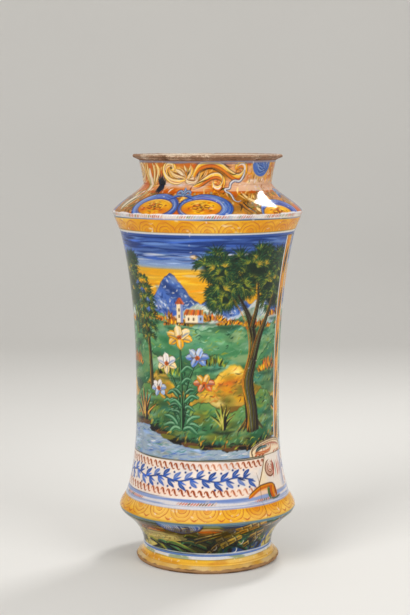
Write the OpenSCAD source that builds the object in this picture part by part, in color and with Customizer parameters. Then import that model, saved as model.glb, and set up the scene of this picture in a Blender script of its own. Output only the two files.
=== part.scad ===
// Albarello: a tall waisted drug jar of tin-glazed earthenware, open at the top.
// Clay sections are stacked on flat seams with slip between them, and coats of glaze cover the clay.
// Millimetres, +Z up, the jar stands on z = 0 with its axis on Z. The front faces -Y.

/* [Heights] */
// Height of the bare foot ring
foot_ring_height = 5.8; // [4:0.2:8]
// Height of the yellow band above the foot ring
foot_band_height = 7.2; // [5:0.2:10]
// Height of the flared base, up to the lower moulding's widest line
base_height = 31; // [24:0.5:40]
// Height of the scalloped border on the lower moulding
lower_border_height = 13; // [9:0.5:18]
// Height of the banner
banner_height = 35; // [26:0.5:46]
// Height of the picture field
panel_height = 176; // [130:1:230]
// Height of the scale border
upper_border_height = 17; // [12:0.5:24]
// Height of the shoulder
shoulder_height = 22.5; // [16:0.5:30]
// Height of the neck, up to the underside of the lip
neck_height = 18.9; // [12:0.1:28]
// Height of the lip
lip_height = 4.6; // [3.6:0.1:6]

/* [Diameters] */
// Foot ring across its widest line
foot_diameter = 117.6; // [114:0.2:126]
// Waist above the foot ring
base_waist_diameter = 105.8; // [98:0.2:108]
// Lower moulding across its widest line
lower_moulding_diameter = 145; // [138:0.5:156]
// Bottom edge of the banner
banner_bottom_diameter = 132.8; // [124:0.2:136]
// Waist of the body
body_waist_diameter = 117.2; // [106:0.2:124]
// Top edge of the picture field
panel_top_diameter = 140.4; // [130:0.2:148]
// Edge of the shoulder
shoulder_diameter = 154; // [148:0.5:168]
// Neck at its root
neck_diameter = 103.4; // [92:0.2:110]
// Neck under the lip
neck_top_diameter = 110.4; // [104:0.2:118]
// How far the lip stands out past the neck
lip_overhang = 5.3; // [3:0.1:8]

/* [Clay and glaze] */
// Clay wall, measured square to the surface
wall = 5.5; // [4:0.1:7]
// Clay floor
floor_thickness = 7; // [5:0.1:10]
// Width of the foot ring's standing face
foot_face_width = 10; // [7:0.5:14]
// Rounding of the lip's edge
lip_edge_radius = 1.4; // [0.8:0.1:1.7]
// Glaze coat
glaze = 0.5; // [0.3:0.05:0.8]
// Slip in each seam
slip = 0.3; // [0.2:0.05:0.6]
// Clearance between the two half coats of the picture field and the clay under them
panel_bond = 0.05; // [0.02:0.01:0.15]

/* [Shape] */
// Place of the body's waist, as a share of the height from the banner's bottom to the field's top
waist_share = 0.384; // [0.3:0.005:0.5]
// Inward step from the foot ring's widest line to its standing face
foot_chamfer = 2.2; // [1:0.1:3.5]

/* [Hidden] */
z_foot = foot_ring_height;
z_base = z_foot + foot_band_height;
z_moulding = z_base + base_height;
z_banner = z_moulding + lower_border_height;
z_panel = z_banner + banner_height;
z_upper = z_panel + panel_height;
z_edge = z_upper + upper_border_height;
z_neck = z_edge + shoulder_height;
z_lip = z_neck + neck_height;
z_top = z_lip + lip_height;
z_floor = z_foot + slip + floor_thickness;
z_waist = z_banner + waist_share * (z_upper - z_banner);
z_flare = z_base + 0.76 * base_height;

r_foot = foot_diameter / 2;
r_base = base_waist_diameter / 2;
r_moulding = lower_moulding_diameter / 2;
r_banner = banner_bottom_diameter / 2;
r_waist = body_waist_diameter / 2;
r_upper = panel_top_diameter / 2;
r_edge = shoulder_diameter / 2;
r_neck = neck_diameter / 2;
r_neck_top = neck_top_diameter / 2;
r_lip = r_neck_top + lip_overhang;
r_foot_top = r_base + 0.4 * (r_foot - r_base);
r_foot_face = r_foot - foot_chamfer;
r_foot_bore = r_foot_face - foot_face_width;
r_flare = r_base + 0.66 * (r_moulding - r_base);
z_foot_wide = 0.43 * z_foot;

$fn = 180;

// Smooth curve from radius a at height p to radius b at height q, with slopes s and t at its ends
function curve(p, a, s, q, b, t, z) =
    let (l = q - p, u = (z - p) / l, u2 = u * u, u3 = u2 * u)
    (2 * u3 - 3 * u2 + 1) * a + (u3 - 2 * u2 + u) * l * s
    + (3 * u2 - 2 * u3) * b + (u3 - u2) * l * t;

// Straight slope between two stations
function chord(p, a, q, b) = (b - a) / (q - p);

slope_foot = 2.5 * chord(z_foot, r_foot_top, z_base, r_base);
slope_flare = 1.75 * chord(z_base, r_base, z_moulding, r_moulding);
slope_banner = 3.1 * chord(z_banner, r_banner, z_waist, r_waist);
slope_upper = 2.6 * chord(z_waist, r_waist, z_upper, r_upper);
slope_border = chord(z_upper, r_upper, z_edge, r_edge);
slope_shoulder = 0.48 * chord(z_edge, r_edge, z_neck, r_neck);
slope_neck = chord(z_neck, r_neck, z_lip, r_neck_top);

// Outside radius of the glazed jar at a height between the foot ring and the lip
function outer_r(z) =
    z < z_base ? curve(z_foot, r_foot_top, slope_foot, z_base, r_base, 0, z)
    : z < z_flare ? curve(z_base, r_base, 0, z_flare, r_flare, slope_flare, z)
    : z < z_moulding ? curve(z_flare, r_flare, slope_flare, z_moulding, r_moulding, 0, z)
    : z < z_banner ? curve(z_moulding, r_moulding, 0, z_banner, r_banner, slope_banner, z)
    : z < z_waist ? curve(z_banner, r_banner, slope_banner, z_waist, r_waist, 0, z)
    : z < z_upper ? curve(z_waist, r_waist, 0, z_upper, r_upper, slope_upper, z)
    : z < z_edge ? curve(z_upper, r_upper, slope_border, z_edge, r_edge, slope_border, z)
    : z < z_neck ? curve(z_edge, r_edge, slope_shoulder, z_neck, r_neck, slope_shoulder, z)
    : curve(z_neck, r_neck, 0.6 * slope_neck, z_lip, r_neck_top, 1.3 * slope_neck, z);

// Slope of the outside over a short height
function slope_at(z) =
    let (a = max(z_foot, z - 0.8), b = min(z_lip, z + 0.8))
    (outer_r(b) - outer_r(a)) / (b - a);

// Radius of the surface that lies a depth t under the outside, square to it
function under_r(z, t) = outer_r(z) - t * sqrt(1 + pow(slope_at(z), 2));
function clay_r(z) = under_r(z, glaze);
function inside_r(z) = under_r(z, glaze + wall);
function lining_r(z) = inside_r(z) - glaze;

// Heights at which the curves are drawn: even steps, and even steps above a seam
function span(a, b, n) = [for (i = [0 : n]) a + (b - a) * i / n];
function seam_span(a, b, n) = concat([a], span(a + slip, b, n));
function tail(list) = [for (i = [1 : len(list) - 1]) list[i]];
function reversed(list) = [for (i = [len(list) - 1 : -1 : 0]) list[i]];
function above(list, z) = [for (h = list) if (h > z + 0.05) h];

foot_zs = seam_span(z_foot, z_base, 4);
base_zs = span(z_base, z_moulding, 12);
lower_zs = seam_span(z_moulding, z_banner, 7);
banner_zs = span(z_banner, z_panel, 7);
low_panel_zs = span(z_panel, z_waist, 6);
high_panel_zs = seam_span(z_waist, z_upper, 16);
panel_zs = concat(low_panel_zs, tail(high_panel_zs));
upper_zs = span(z_upper, z_edge, 5);
shoulder_zs = seam_span(z_edge, z_neck, 9);
neck_zs = seam_span(z_neck, z_lip, 5);
base_section_zs = concat(tail(foot_zs), tail(base_zs));
lower_body_zs = concat(tail(lower_zs), tail(banner_zs), tail(low_panel_zs));
upper_body_zs = concat(tail(high_panel_zs), tail(upper_zs));
inside_zs = concat(tail(foot_zs), tail(base_zs), lower_zs, tail(banner_zs), tail(panel_zs),
                   tail(upper_zs), tail(shoulder_zs), tail(neck_zs));

// Outlines in radius and height
function clay_line(zs) = [for (z = zs) [clay_r(z), z]];
function inside_line(zs) = [for (z = zs) [inside_r(z), z]];
function outer_line(zs) = [for (z = zs) [outer_r(z), z]];
function lining_line(zs) = [for (z = zs) [lining_r(z), z]];

// The lip flares out under a rounded edge and rounds over to the inside
function lip_line() = concat(
    [[outer_r(z_lip), z_lip]],
    [for (a = [-50 : 20 : 90]) [r_lip - lip_edge_radius * (1 - cos(a)),
                                z_top - lip_edge_radius * (1 - sin(a))]],
    [for (a = [75 : -15 : 0]) [lining_r(z_lip) + (r_lip - lip_edge_radius - lining_r(z_lip)) * (1 - cos(a)),
                               z_lip + lip_height * sin(a)]]);

// Full ring turned from an outline
module turned(line) {
    rotate_extrude() polygon(line);
}

// Ring of clay wall between the glaze outside and the lining inside
module clay_wall(zs) {
    turned(concat(clay_line(zs), reversed(inside_line(zs))));
}

// Outline of an outside coat of glaze, and of one that stays clear of the clay
function coat_line(zs) = concat(outer_line(zs), reversed(clay_line(zs)));
function clear_line(zs) = concat(outer_line(zs), reversed([for (z = zs) [clay_r(z) + panel_bond, z]]));

// Ring of slip that fills one seam
module slip_ring(z, r_in_low, r_in_high) {
    turned([[r_in_low, z], [clay_r(z), z], [clay_r(z + slip), z + slip], [r_in_high, z + slip]]);
}

module foot_ring() {
    color([0.66, 0.48, 0.36])
    turned([[r_foot_bore, 0], [r_foot_face, 0],
            [r_foot - 0.25 * foot_chamfer, 0.45 * z_foot_wide],
            [r_foot, z_foot_wide],
            [r_foot_top + 0.72 * (r_foot - r_foot_top), 0.7 * z_foot],
            [r_foot_top, z_foot], [r_foot_bore, z_foot]]);
}

module base_section() {
    color([0.72, 0.53, 0.4])
    turned(concat([[0, z_foot + slip]], clay_line(base_section_zs),
                  reversed(inside_line(above(base_section_zs, z_floor))),
                  [[inside_r(z_floor), z_floor], [0, z_floor]]));
}

module lower_body() {
    color([0.72, 0.53, 0.4]) clay_wall(lower_body_zs);
}

module upper_body() {
    color([0.7, 0.51, 0.38]) clay_wall(upper_body_zs);
}

module shoulder() {
    color([0.72, 0.53, 0.4]) clay_wall(tail(shoulder_zs));
}

module neck() {
    color([0.66, 0.48, 0.36])
    turned(concat(clay_line(tail(neck_zs)), lip_line(), reversed(inside_line(tail(neck_zs)))));
}

module luting_slip() {
    color([0.6, 0.45, 0.35]) {
        slip_ring(z_foot, r_foot_bore, r_foot_bore);
        slip_ring(z_moulding, inside_r(z_moulding), inside_r(z_moulding + slip));
        slip_ring(z_waist, inside_r(z_waist), inside_r(z_waist + slip));
        slip_ring(z_edge, inside_r(z_edge), inside_r(z_edge + slip));
        slip_ring(z_neck, inside_r(z_neck), inside_r(z_neck + slip));
    }
}

module inner_glaze() {
    color([0.86, 0.8, 0.7])
    turned(concat([[0, z_floor], [inside_r(z_floor), z_floor]],
                  inside_line(above(inside_zs, z_floor)),
                  reversed(lining_line(above(inside_zs, z_floor + glaze))),
                  [[lining_r(z_floor + glaze), z_floor + glaze], [0, z_floor + glaze]]));
}

module neck_glaze() {
    color([0.8, 0.42, 0.13]) turned(coat_line(neck_zs));
}

module shoulder_glaze() {
    color([0.8, 0.42, 0.13]) turned(coat_line(shoulder_zs));
}

module upper_border_glaze() {
    color([0.92, 0.66, 0.14]) turned(coat_line(upper_zs));
}

module front_panel_glaze() {
    color([0.45, 0.55, 0.75])
    rotate([0, 0, 180]) rotate_extrude(angle = 180) polygon(clear_line(panel_zs));
}

module back_panel_glaze() {
    color([0.4, 0.5, 0.7]) rotate_extrude(angle = 180) polygon(clear_line(panel_zs));
}

module banner_glaze() {
    color([0.92, 0.86, 0.8]) turned(coat_line(banner_zs));
}

module lower_border_glaze() {
    color([0.92, 0.66, 0.14]) turned(coat_line(lower_zs));
}

module base_glaze() {
    color([0.2, 0.3, 0.25]) turned(coat_line(base_zs));
}

module foot_glaze() {
    color([0.92, 0.66, 0.14]) turned(coat_line(foot_zs));
}

foot_ring();
base_section();
lower_body();
upper_body();
shoulder();
neck();
luting_slip();
inner_glaze();
neck_glaze();
shoulder_glaze();
upper_border_glaze();
front_panel_glaze();
back_panel_glaze();
banner_glaze();
lower_border_glaze();
base_glaze();
foot_glaze();
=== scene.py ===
"""Looks of the albarello: a painted, glazed earthenware jar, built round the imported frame.

Shapes and brushwork are worked out in millimetres. A mesh is written in metres, in the frame's own place.
Round the jar, an angle of 0 is the front (-Y) and grows towards +X.
"""

import bpy
import numpy as np
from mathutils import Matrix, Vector


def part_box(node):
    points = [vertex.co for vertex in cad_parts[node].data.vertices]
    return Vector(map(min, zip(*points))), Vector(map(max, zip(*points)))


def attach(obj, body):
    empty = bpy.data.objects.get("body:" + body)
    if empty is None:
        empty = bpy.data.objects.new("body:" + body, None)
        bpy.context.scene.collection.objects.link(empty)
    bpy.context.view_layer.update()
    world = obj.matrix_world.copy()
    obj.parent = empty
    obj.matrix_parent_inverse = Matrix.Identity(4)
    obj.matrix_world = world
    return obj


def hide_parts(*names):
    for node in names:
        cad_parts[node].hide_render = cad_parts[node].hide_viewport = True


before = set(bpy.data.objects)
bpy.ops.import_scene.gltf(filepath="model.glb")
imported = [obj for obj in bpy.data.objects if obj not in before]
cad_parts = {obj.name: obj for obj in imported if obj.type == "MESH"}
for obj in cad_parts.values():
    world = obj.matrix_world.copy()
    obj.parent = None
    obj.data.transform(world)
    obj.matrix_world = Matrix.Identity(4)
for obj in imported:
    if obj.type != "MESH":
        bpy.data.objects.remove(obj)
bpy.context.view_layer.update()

MM = 0.001
FULL_TURN = 2 * np.pi


# Frame: the jar's profile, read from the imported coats

def span(node):
    """Lowest and highest point of a CAD node, in mm above the ground."""
    low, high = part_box(node)
    return low[2] / MM, high[2] / MM


def points_of(node):
    """Radii and heights, in mm, of a CAD node's points."""
    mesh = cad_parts[node].data
    flat = np.empty(len(mesh.vertices) * 3)
    mesh.vertices.foreach_get("co", flat)
    x, y, z = flat.reshape(-1, 3).T / MM
    return np.hypot(x, y), z


def rings_of(node):
    """Heights and outside radii of a CAD node's rings: the widest point at each height."""
    radius, height = points_of(node)
    heights, ring = np.unique(np.round(height, 2), return_inverse=True)
    radii = np.zeros(len(heights))
    np.maximum.at(radii, ring, radius)
    return heights, radii


def length_along(x, y):
    """The way walked along a row of points, from 0 at the first one."""
    return np.concatenate([[0], np.cumsum(np.hypot(np.diff(x), np.diff(y)))])


def curve_through(at, value):
    """A smooth curve through stations: cubic pieces whose end slopes are the mean slopes there."""
    slope = np.gradient(value, at)

    def curve(x):
        i = np.clip(np.searchsorted(at, x, side="right") - 1, 0, len(at) - 2)
        step = at[i + 1] - at[i]
        t = (x - at[i]) / step
        start = (1 + 2 * t) * (1 - t) ** 2 * value[i] + t * (1 - t) ** 2 * step * slope[i]
        return start + t * t * (3 - 2 * t) * value[i + 1] + t * t * (t - 1) * step * slope[i + 1]
    return curve


def wobble(angle, height):
    """How far the hand-thrown wall strays from true, in mm: a slow sway and faint throwing rings."""
    sway = 0.14 * np.sin(2 * angle + 0.7 + height / 90) + 0.08 * np.sin(3 * angle - height / 55)
    return sway + 0.012 * np.sin(height / 1.3 + 0.8 * np.sin(angle))


def ring_noise(angle, waves, seed):
    """Uneven variation from about -1 to 1 round the jar, from sine waves of chosen counts."""
    rng = np.random.default_rng(seed)
    return sum(np.sin(w * angle + rng.uniform(0, FULL_TURN)) / len(waves) ** 0.5 for w in waves)


NECK = span("neck_glaze")
LIP_FOOT = NECK[1]
LIP_TOP = span("neck")[1]
FOOT_TOP = span("foot_ring")[1]


# Paints, as red, green and blue from 0 to 255

BRIGHT_WHITE = (240, 232, 226)
WHITE = (226, 217, 206)
PINK_WHITE = (233, 213, 198)
NECK_PALE = (222, 178, 146)
CREAM = (238, 204, 128)
YELLOW = (222, 154, 14)
DEEP_YELLOW = (210, 132, 8)
LEMON = (240, 186, 44)
OCHRE = (186, 116, 28)
ORANGE = (194, 86, 18)
DEEP_ORANGE = (160, 62, 14)
RUST = (172, 78, 40)
RED = (190, 84, 62)
BLUE = (54, 88, 166)
DEEP_BLUE = (22, 48, 108)
SKY_BLUE = (92, 124, 184)
PALE_BLUE = (154, 176, 208)
LILAC = (124, 136, 180)
VIOLET = (92, 90, 172)
GREEN = (42, 104, 64)
MEADOW = (80, 138, 86)
PALE_GREEN = (138, 178, 142)
DEEP_GREEN = (18, 50, 30)
YELLOW_GREEN = (144, 150, 44)
OLIVE = (104, 100, 30)
TEAL = (52, 120, 106)
GREY_GREEN = (124, 128, 106)
BROWN = (88, 56, 28)
BLACK = (18, 15, 13)
CLAY = (176, 126, 90)


def tone(paint):
    """A paint, or an array of them, as linear light from 0 to 1."""
    share = np.asarray(paint, float) / 255
    return np.where(share <= 0.04045, share / 12.92, ((share + 0.055) / 1.055) ** 2.4)


def mixed(first, second, share):
    """Two paints mixed, with the share of the second one."""
    return np.asarray(first, float) * (1 - share) + np.asarray(second, float) * share


def ramp(x, low, high):
    """0 below low, 1 above high, and a smooth S between them (low may be the larger)."""
    t = np.clip((x - low) / (high - low), 0, 1)
    return t * t * (3 - 2 * t)


def smooth_path(points, steps):
    """Points along a Catmull-Rom curve through the given ones."""
    p = np.asarray(points, float)
    ends = np.vstack([2 * p[0] - p[1], p, 2 * p[-1] - p[-2]])
    t = np.linspace(0, 1, steps, endpoint=False)[None, :, None]
    a, b, c, d = (ends[i:len(p) - 1 + i, None] for i in range(4))
    bend = 2 * b + (c - a) * t + (2 * a - 5 * b + 4 * c - d) * t ** 2 + (3 * b - a - 3 * c + d) * t ** 3
    return np.vstack([bend.reshape(-1, 2) / 2, p[-1:]])


def spiral(centre, start_radius, end_radius, start_angle, turns, count=14):
    """Points of a volute: the radius shrinks evenly while the angle, in degrees, turns."""
    share = np.linspace(0, 1, count)
    radius = start_radius + (end_radius - start_radius) * share
    angle = np.radians(start_angle + 360 * turns * share)
    return np.stack([centre[0] + radius * np.cos(angle), centre[1] + radius * np.sin(angle)], 1)


# Coats: bands of the outside as grids that are painted by brush

EDGE = 0.5  # mm over which a stroke's edge fades
SHOULDER_SLOPE = 1.4  # mm along the shoulder for a mm of height
PROFILE_POINTS = 2001  # stations by which a profile's length is measured
LEAST_SQUARE = 1e-9  # keep a stroke's steps and tapers from being 0
LEAST_TAPER = 1e-3


class Coat:
    """A band of the jar as a grid of points: x in mm round it from the front, y in mm up its profile."""

    def __init__(self, node, pitch, seed):
        heights, radii = rings_of(node)
        profile = curve_through(heights, radii)
        fine = np.linspace(heights[0], heights[-1], PROFILE_POINTS)
        length = length_along(fine, profile(fine))
        self.rows = max(4, int(round(length[-1] / pitch))) + 1
        self.y = np.linspace(0, length[-1], self.rows)
        self.z = np.interp(self.y, length, fine)
        self.z[[0, -1]] = heights[[0, -1]]
        self.tall = self.z[-1] - self.z[0]
        self.radius = profile(self.z)
        self.mean_radius = self.radius.mean()
        self.girth = FULL_TURN * self.mean_radius
        self.columns = 4 * int(round(self.girth / pitch / 4))
        self.angle = FULL_TURN * np.arange(self.columns) / self.columns - np.pi
        self.x = self.angle * self.mean_radius
        self.X, self.Y = np.meshgrid(self.x, self.y)
        self.paint = np.zeros((self.rows, self.columns, 3))
        self.rng = np.random.default_rng(seed)

    def at(self, degrees):
        """x of an angle from the front."""
        return np.radians(degrees) * self.mean_radius

    def up(self, rise):
        """y of a height above the band's foot; past the band it runs on, below as steep as a shoulder."""
        past = SHOULDER_SLOPE * min(rise, 0) + max(rise - self.tall, 0)
        return np.interp(rise, self.z - self.z[0], self.y) + past

    def spot(self, degrees, rise):
        """The place at an angle from the front and a height above the band's foot."""
        return np.array([self.at(degrees), self.up(rise)])

    def cloud(self, across, along, octaves=3):
        """Soft random variation from 0 to 1 that closes round the jar, with spots of the given size in mm."""
        total, weight = np.zeros_like(self.X), 0.0
        for octave in range(octaves):
            cells = max(3, int(round(self.girth / across * 2 ** octave)))
            u = (self.angle + np.pi) / FULL_TURN * cells
            v = self.y / along * 2 ** octave
            lattice = self.rng.random((int(v[-1]) + 3, cells))
            i, j = u.astype(int) % cells, v.astype(int)
            s, t = ramp(u % 1, 0, 1)[None], ramp(v % 1, 0, 1)[:, None]
            low = lattice[j][:, i] * (1 - s) + lattice[j][:, (i + 1) % cells] * s
            high = lattice[j + 1][:, i] * (1 - s) + lattice[j + 1][:, (i + 1) % cells] * s
            total += (low * (1 - t) + high * t) / 2 ** octave
            weight += 1 / 2 ** octave
        return total / weight

    def wash(self, cover, paint):
        """Lays paint over the whole grid, as much as cover says."""
        cover = np.broadcast_to(cover, self.X.shape)[..., None]
        self.paint += np.clip(cover, 0, 1) * (np.asarray(paint, float) - self.paint)

    def mottle(self, cover, spots, low, high, paint):
        """Lays paint in soft random spots: none where their cloud is below low, all of it above high."""
        self.wash(cover * ramp(self.cloud(*spots), low, high), paint)

    def fill(self, start, full, paint, cover=1.0):
        """Lays paint above or below a line: none up to the start, the whole cover from full on."""
        self.wash(cover * ramp(self.Y, start, full), paint)

    def patch(self, low, high):
        """The part of the grid between two corners, carried on past the back seam: rows, columns, x and y."""
        j = np.arange(*np.searchsorted(self.y, [low[1], high[1]]))
        step = self.girth / self.columns
        i = np.arange(int(np.ceil((low[0] - self.x[0]) / step)), int((high[0] - self.x[0]) / step) + 1)
        return j[:, None], i % self.columns, self.x[0] + i * step, self.y[j][:, None]

    def lay(self, low, high, cover_of, paint):
        """Lays paint on a patch, as much as the function of x and y says."""
        j, i, x, y = self.patch(low, high)
        if j.size and i.size:
            under = self.paint[j, i]
            self.paint[j, i] = under + np.clip(cover_of(x, y), 0, 1)[..., None] * (np.asarray(paint) - under)

    def brush(self, points, width, paint, cover=1.0, taper=(0.25, 0.35), steps=7, edge=EDGE):
        """One brush stroke: full within half its width of a curve, with pointed ends."""
        path = smooth_path(points, steps)
        run = np.diff(path, axis=0)
        start_x, start_y, run_x, run_y = np.hstack([path[:-1], run]).T[..., None, None]
        square = np.maximum(run_x ** 2 + run_y ** 2, LEAST_SQUARE)

        def cover_of(x, y):
            dx, dy = x - start_x, y - start_y
            t = np.clip((dx * run_x + dy * run_y) / square, 0, 1)
            away = (dx - t * run_x) ** 2 + (dy - t * run_y) ** 2
            nearest = away.argmin(0)[None]
            place = (nearest[0] + np.take_along_axis(t, nearest, 0)[0]) / len(run)
            ends = np.minimum(place / max(taper[0], LEAST_TAPER), (1 - place) / max(taper[1], LEAST_TAPER))
            half = width / 2 * np.clip(ends, 0, 1) ** 0.6
            return cover * ((half - np.sqrt(np.take_along_axis(away, nearest, 0)[0])) / edge + 0.5)
        margin = width / 2 + edge
        self.lay(path.min(0) - margin, path.max(0) + margin, cover_of, paint)

    def lined(self, points, width, paint, line, line_width, **how):
        """A stroke with a dark line round it: a wider stroke of the line paint, then the stroke."""
        self.brush(points, width + 2 * line_width, line, **how)
        self.brush(points, width, paint, **how)

    def dab(self, points, width, paint, cover, taper=(0.3, 0.5)):
        """A short straight stroke."""
        self.brush(points, width, paint, cover, taper, 2)

    def disc(self, centre, radii, paint, cover=1.0, edge=EDGE):
        """A filled ellipse."""
        centre, radii = np.asarray(centre, float), np.asarray(radii, float)

        def cover_of(x, y):
            out = np.hypot((x - centre[0]) / radii[0], (y - centre[1]) / radii[1])
            return cover * ((1 - out) * radii.min() / edge + 0.5)
        self.lay(centre - radii - edge, centre + radii + edge, cover_of, paint)

    def rule(self, y, width, paint, cover, sway=0.25):
        """A line drawn right round the jar while it turns, with a little sway and uneven pressure."""
        turn = self.angle[None]
        middle = y + sway * (np.sin(2 * turn + y) + 0.5 * np.sin(5 * turn + 2 * y))
        press = 1 + 0.22 * np.sin(3 * turn + 3 * y) + 0.12 * np.sin(11 * turn + y)
        self.wash(cover * ((width / 2 * press - abs(self.Y - middle)) / EDGE + 0.5), paint)

    def shade(self, paint, spread=0.08):
        """A paint a little lighter or darker than asked, as each brushful is."""
        return np.clip(np.asarray(paint, float) * (1 + self.rng.normal(0, spread)), 0, 255)

    def pick(self, *paints):
        """One of some paints, by chance."""
        return paints[self.rng.integers(len(paints))]

    def flecks(self, count, size, paint, cover=0.5):
        """Small worn spots where the paint has flaked."""
        for _ in range(count):
            spot = np.array([self.rng.uniform(-0.5, 0.5) * self.girth, self.rng.uniform(0, self.y[-1])])
            drift = self.rng.normal(0, size, (2, 2))
            width = size * self.rng.uniform(0.5, 1.2)
            self.brush([spot - drift[0], spot, spot + drift[1]], width, paint, cover)


# Bands of ornament

def yellow_ground(coat, worn):
    """Yellow laid thin and thick: orange where it pools, pale where it has worn."""
    coat.wash(1, YELLOW)
    coat.mottle(0.7, (30, 9), 0.45, 0.75, DEEP_YELLOW)
    coat.mottle(0.6, (16, 7), 0.48, 0.75, LEMON)
    coat.mottle(0.15, (7, 4), 0.5, 0.8, ORANGE)
    coat.mottle(worn, (60, 30, 2), 0.45, 0.7, mixed(CREAM, PINK_WHITE, 0.4))


def arcs(coat, count, base_y, radii, facing):
    """Rows of concentric arcs side by side, cut off half way to their neighbours (facing 1 up, -1 down)."""
    pitch = coat.girth / count
    which = np.floor((coat.X + pitch / 2) / pitch)
    beside = (coat.X + pitch / 2) % pitch - pitch / 2
    rise = (coat.Y - base_y) * facing
    shown = rise > -0.3
    out = np.hypot(beside, rise) + 0.35 * np.sin(2.3 * which) + 0.2 * np.sin(5 * which + beside)
    coat.wash(0.4 * ramp(out, radii[0], radii[0] - 2.5) * shown, ORANGE)
    for radius in radii:
        coat.wash(0.2 * np.exp(-((out - radius + 0.8) / 0.8) ** 2) * shown, OCHRE)
        press = np.clip(0.8 + 0.4 * np.sin(1.7 * which + radius + beside / 2.5), 0.4, 1)
        coat.wash(np.clip((0.24 - abs(out - radius)) / 0.4 + 0.5, 0, 1) * press * shown, RUST)


HATCH_TALL = 2.6


def hatch(coat, y):
    """Slanting dabs in groups along the white edge band: red for the most part, some olive, some faint."""
    rng = np.random.default_rng(5)
    for angle in np.arange(-180, 180, 1.45):
        x, tall = coat.at(angle + rng.uniform(-0.25, 0.25)), HATCH_TALL * rng.uniform(0.8, 1.15)
        press = np.clip(0.6 + 0.5 * np.sin(angle / 2.9) + 0.35 * np.sin(angle / 7 + 1), 0.1, 1)
        paint = mixed((RED, RED, RUST, OLIVE)[rng.integers(4)], PINK_WHITE, rng.uniform(0, 0.35))
        slant = np.array([0.3, 0.5]) * tall
        coat.dab([(x, y) - slant, (x, y) + slant], 0.9, paint, press, (0.15, 0.3))


def paint_foot(coat):
    """Yellow band, worn pale in places, with a white line above it that the greens have run into."""
    top = coat.y[-1]
    yellow_ground(coat, 0.85)
    coat.wash(0.5, (228, 186, 84))
    coat.mottle(0.75, (46, 9, 2), 0.4, 0.6, mixed(CREAM, OCHRE, 0.15))
    coat.mottle(0.5, (20, 5), 0.5, 0.7, OCHRE)
    coat.rule(1.6, 0.5, OCHRE, 0.6)
    coat.rule(top - 0.9, 3.0, mixed(WHITE, PALE_BLUE, 0.3), 0.9, 0.2)
    run_in = 0.7 * ramp(coat.Y, top - 3.4, top - 1.6)
    coat.mottle(run_in, (16, 6), 0.52, 0.66, mixed(OLIVE, PALE_GREEN, 0.5))
    coat.rule(top - 2.6, 0.6, OLIVE, 0.5)
    coat.flecks(60, 1.0, PINK_WHITE)


def paint_lower_border(coat):
    """Yellow moulding with hanging scallops in thin red line, small bows between them, and rulings."""
    top = coat.y[-1]
    count = 21
    yellow_ground(coat, 0.45)
    arcs(coat, count, top - 2.8, (3.2, 6.3, 9.2), -1)
    for k in range(count):
        x = k * coat.girth / count + coat.x[0]
        for radius in (1.5, 3.2):
            tips = 3.2 + radius * 0.5
            bow = [(x - radius, tips), (x, 3.4 - radius * 0.3), (x + radius, tips)]
            coat.brush(bow, 0.6, RUST, 0.75, (0.1, 0.1))
    coat.fill(2.6, 0.6, mixed(YELLOW, OLIVE, 0.45), 0.5)
    coat.rule(0.2, 1.2, mixed(LILAC, GREEN, 0.35), 0.85)
    coat.fill(top - 2.8, top - 2.3, mixed(PINK_WHITE, PALE_BLUE, 0.4))
    coat.rule(top - 2.2, 0.9, LILAC, 0.3 + 0.5 * ramp(coat.cloud(50, 30, 2), 0.45, 0.6))
    coat.rule(top - 0.2, 1.0, mixed(LILAC, PALE_BLUE, 0.4), 0.6)
    run_in = 0.6 * ramp(coat.Y, top - 7, top - 3.5) * ramp(coat.Y, top - 2.6, top - 3)
    coat.mottle(run_in, (60, 30, 2), 0.5, 0.64, mixed(YELLOW_GREEN, LEMON, 0.35))
    coat.flecks(40, 1.2, PINK_WHITE)
    coat.brush([(coat.at(41), top), (coat.at(41.6), top / 2), (coat.at(40.6), 1)], 0.5, BROWN, 0.7)


def paint_upper_border(coat):
    """White line, yellow band of rising scales, grey-blue line and the white hatched edge of the shoulder."""
    up, high = coat.up, coat.tall
    yellow_ground(coat, 0.25)
    arcs(coat, 27, up(3.8), (3.0, 5.8, 8.7), 1)
    coat.mottle(0.7, (9, 3.5), 0.7, 0.82, mixed(PINK_WHITE, CREAM, 0.3))
    edge = ramp(coat.Y, up(high - 2.8) - 0.4, up(high - 2.8) + 0.4)
    coat.wash(edge, mixed(BRIGHT_WHITE, GREY_GREEN, 0.18))
    coat.mottle(0.4 * edge, (14, 5), 0.45, 0.7, mixed(PINK_WHITE, RED, 0.2))
    coat.mottle(0.4 * edge, (9, 4), 0.45, 0.7, mixed(PALE_BLUE, LILAC, 0.3))
    thin = ramp(coat.cloud(70, 40, 2), 0.42, 0.6)
    coat.rule(up(high - 3.1), 1.1, mixed(LILAC, PALE_BLUE, 0.2), 0.95)
    coat.rule(up(high - 3.2), 0.8, mixed(DEEP_GREEN, LILAC, 0.4), 0.85 * thin)
    coat.fill(up(3.5) + 0.3, up(3.5) - 0.3, mixed(WHITE, PALE_BLUE, 0.25))
    coat.rule(up(3.7), 0.6, OLIVE, 0.6)
    coat.fill(up(2) + 0.4, up(2) - 0.4, mixed(BLUE, DEEP_BLUE, 0.4))
    hatch(coat, up(high - 0.8))
    coat.flecks(60, 1.1, PINK_WHITE, 0.55)


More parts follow.
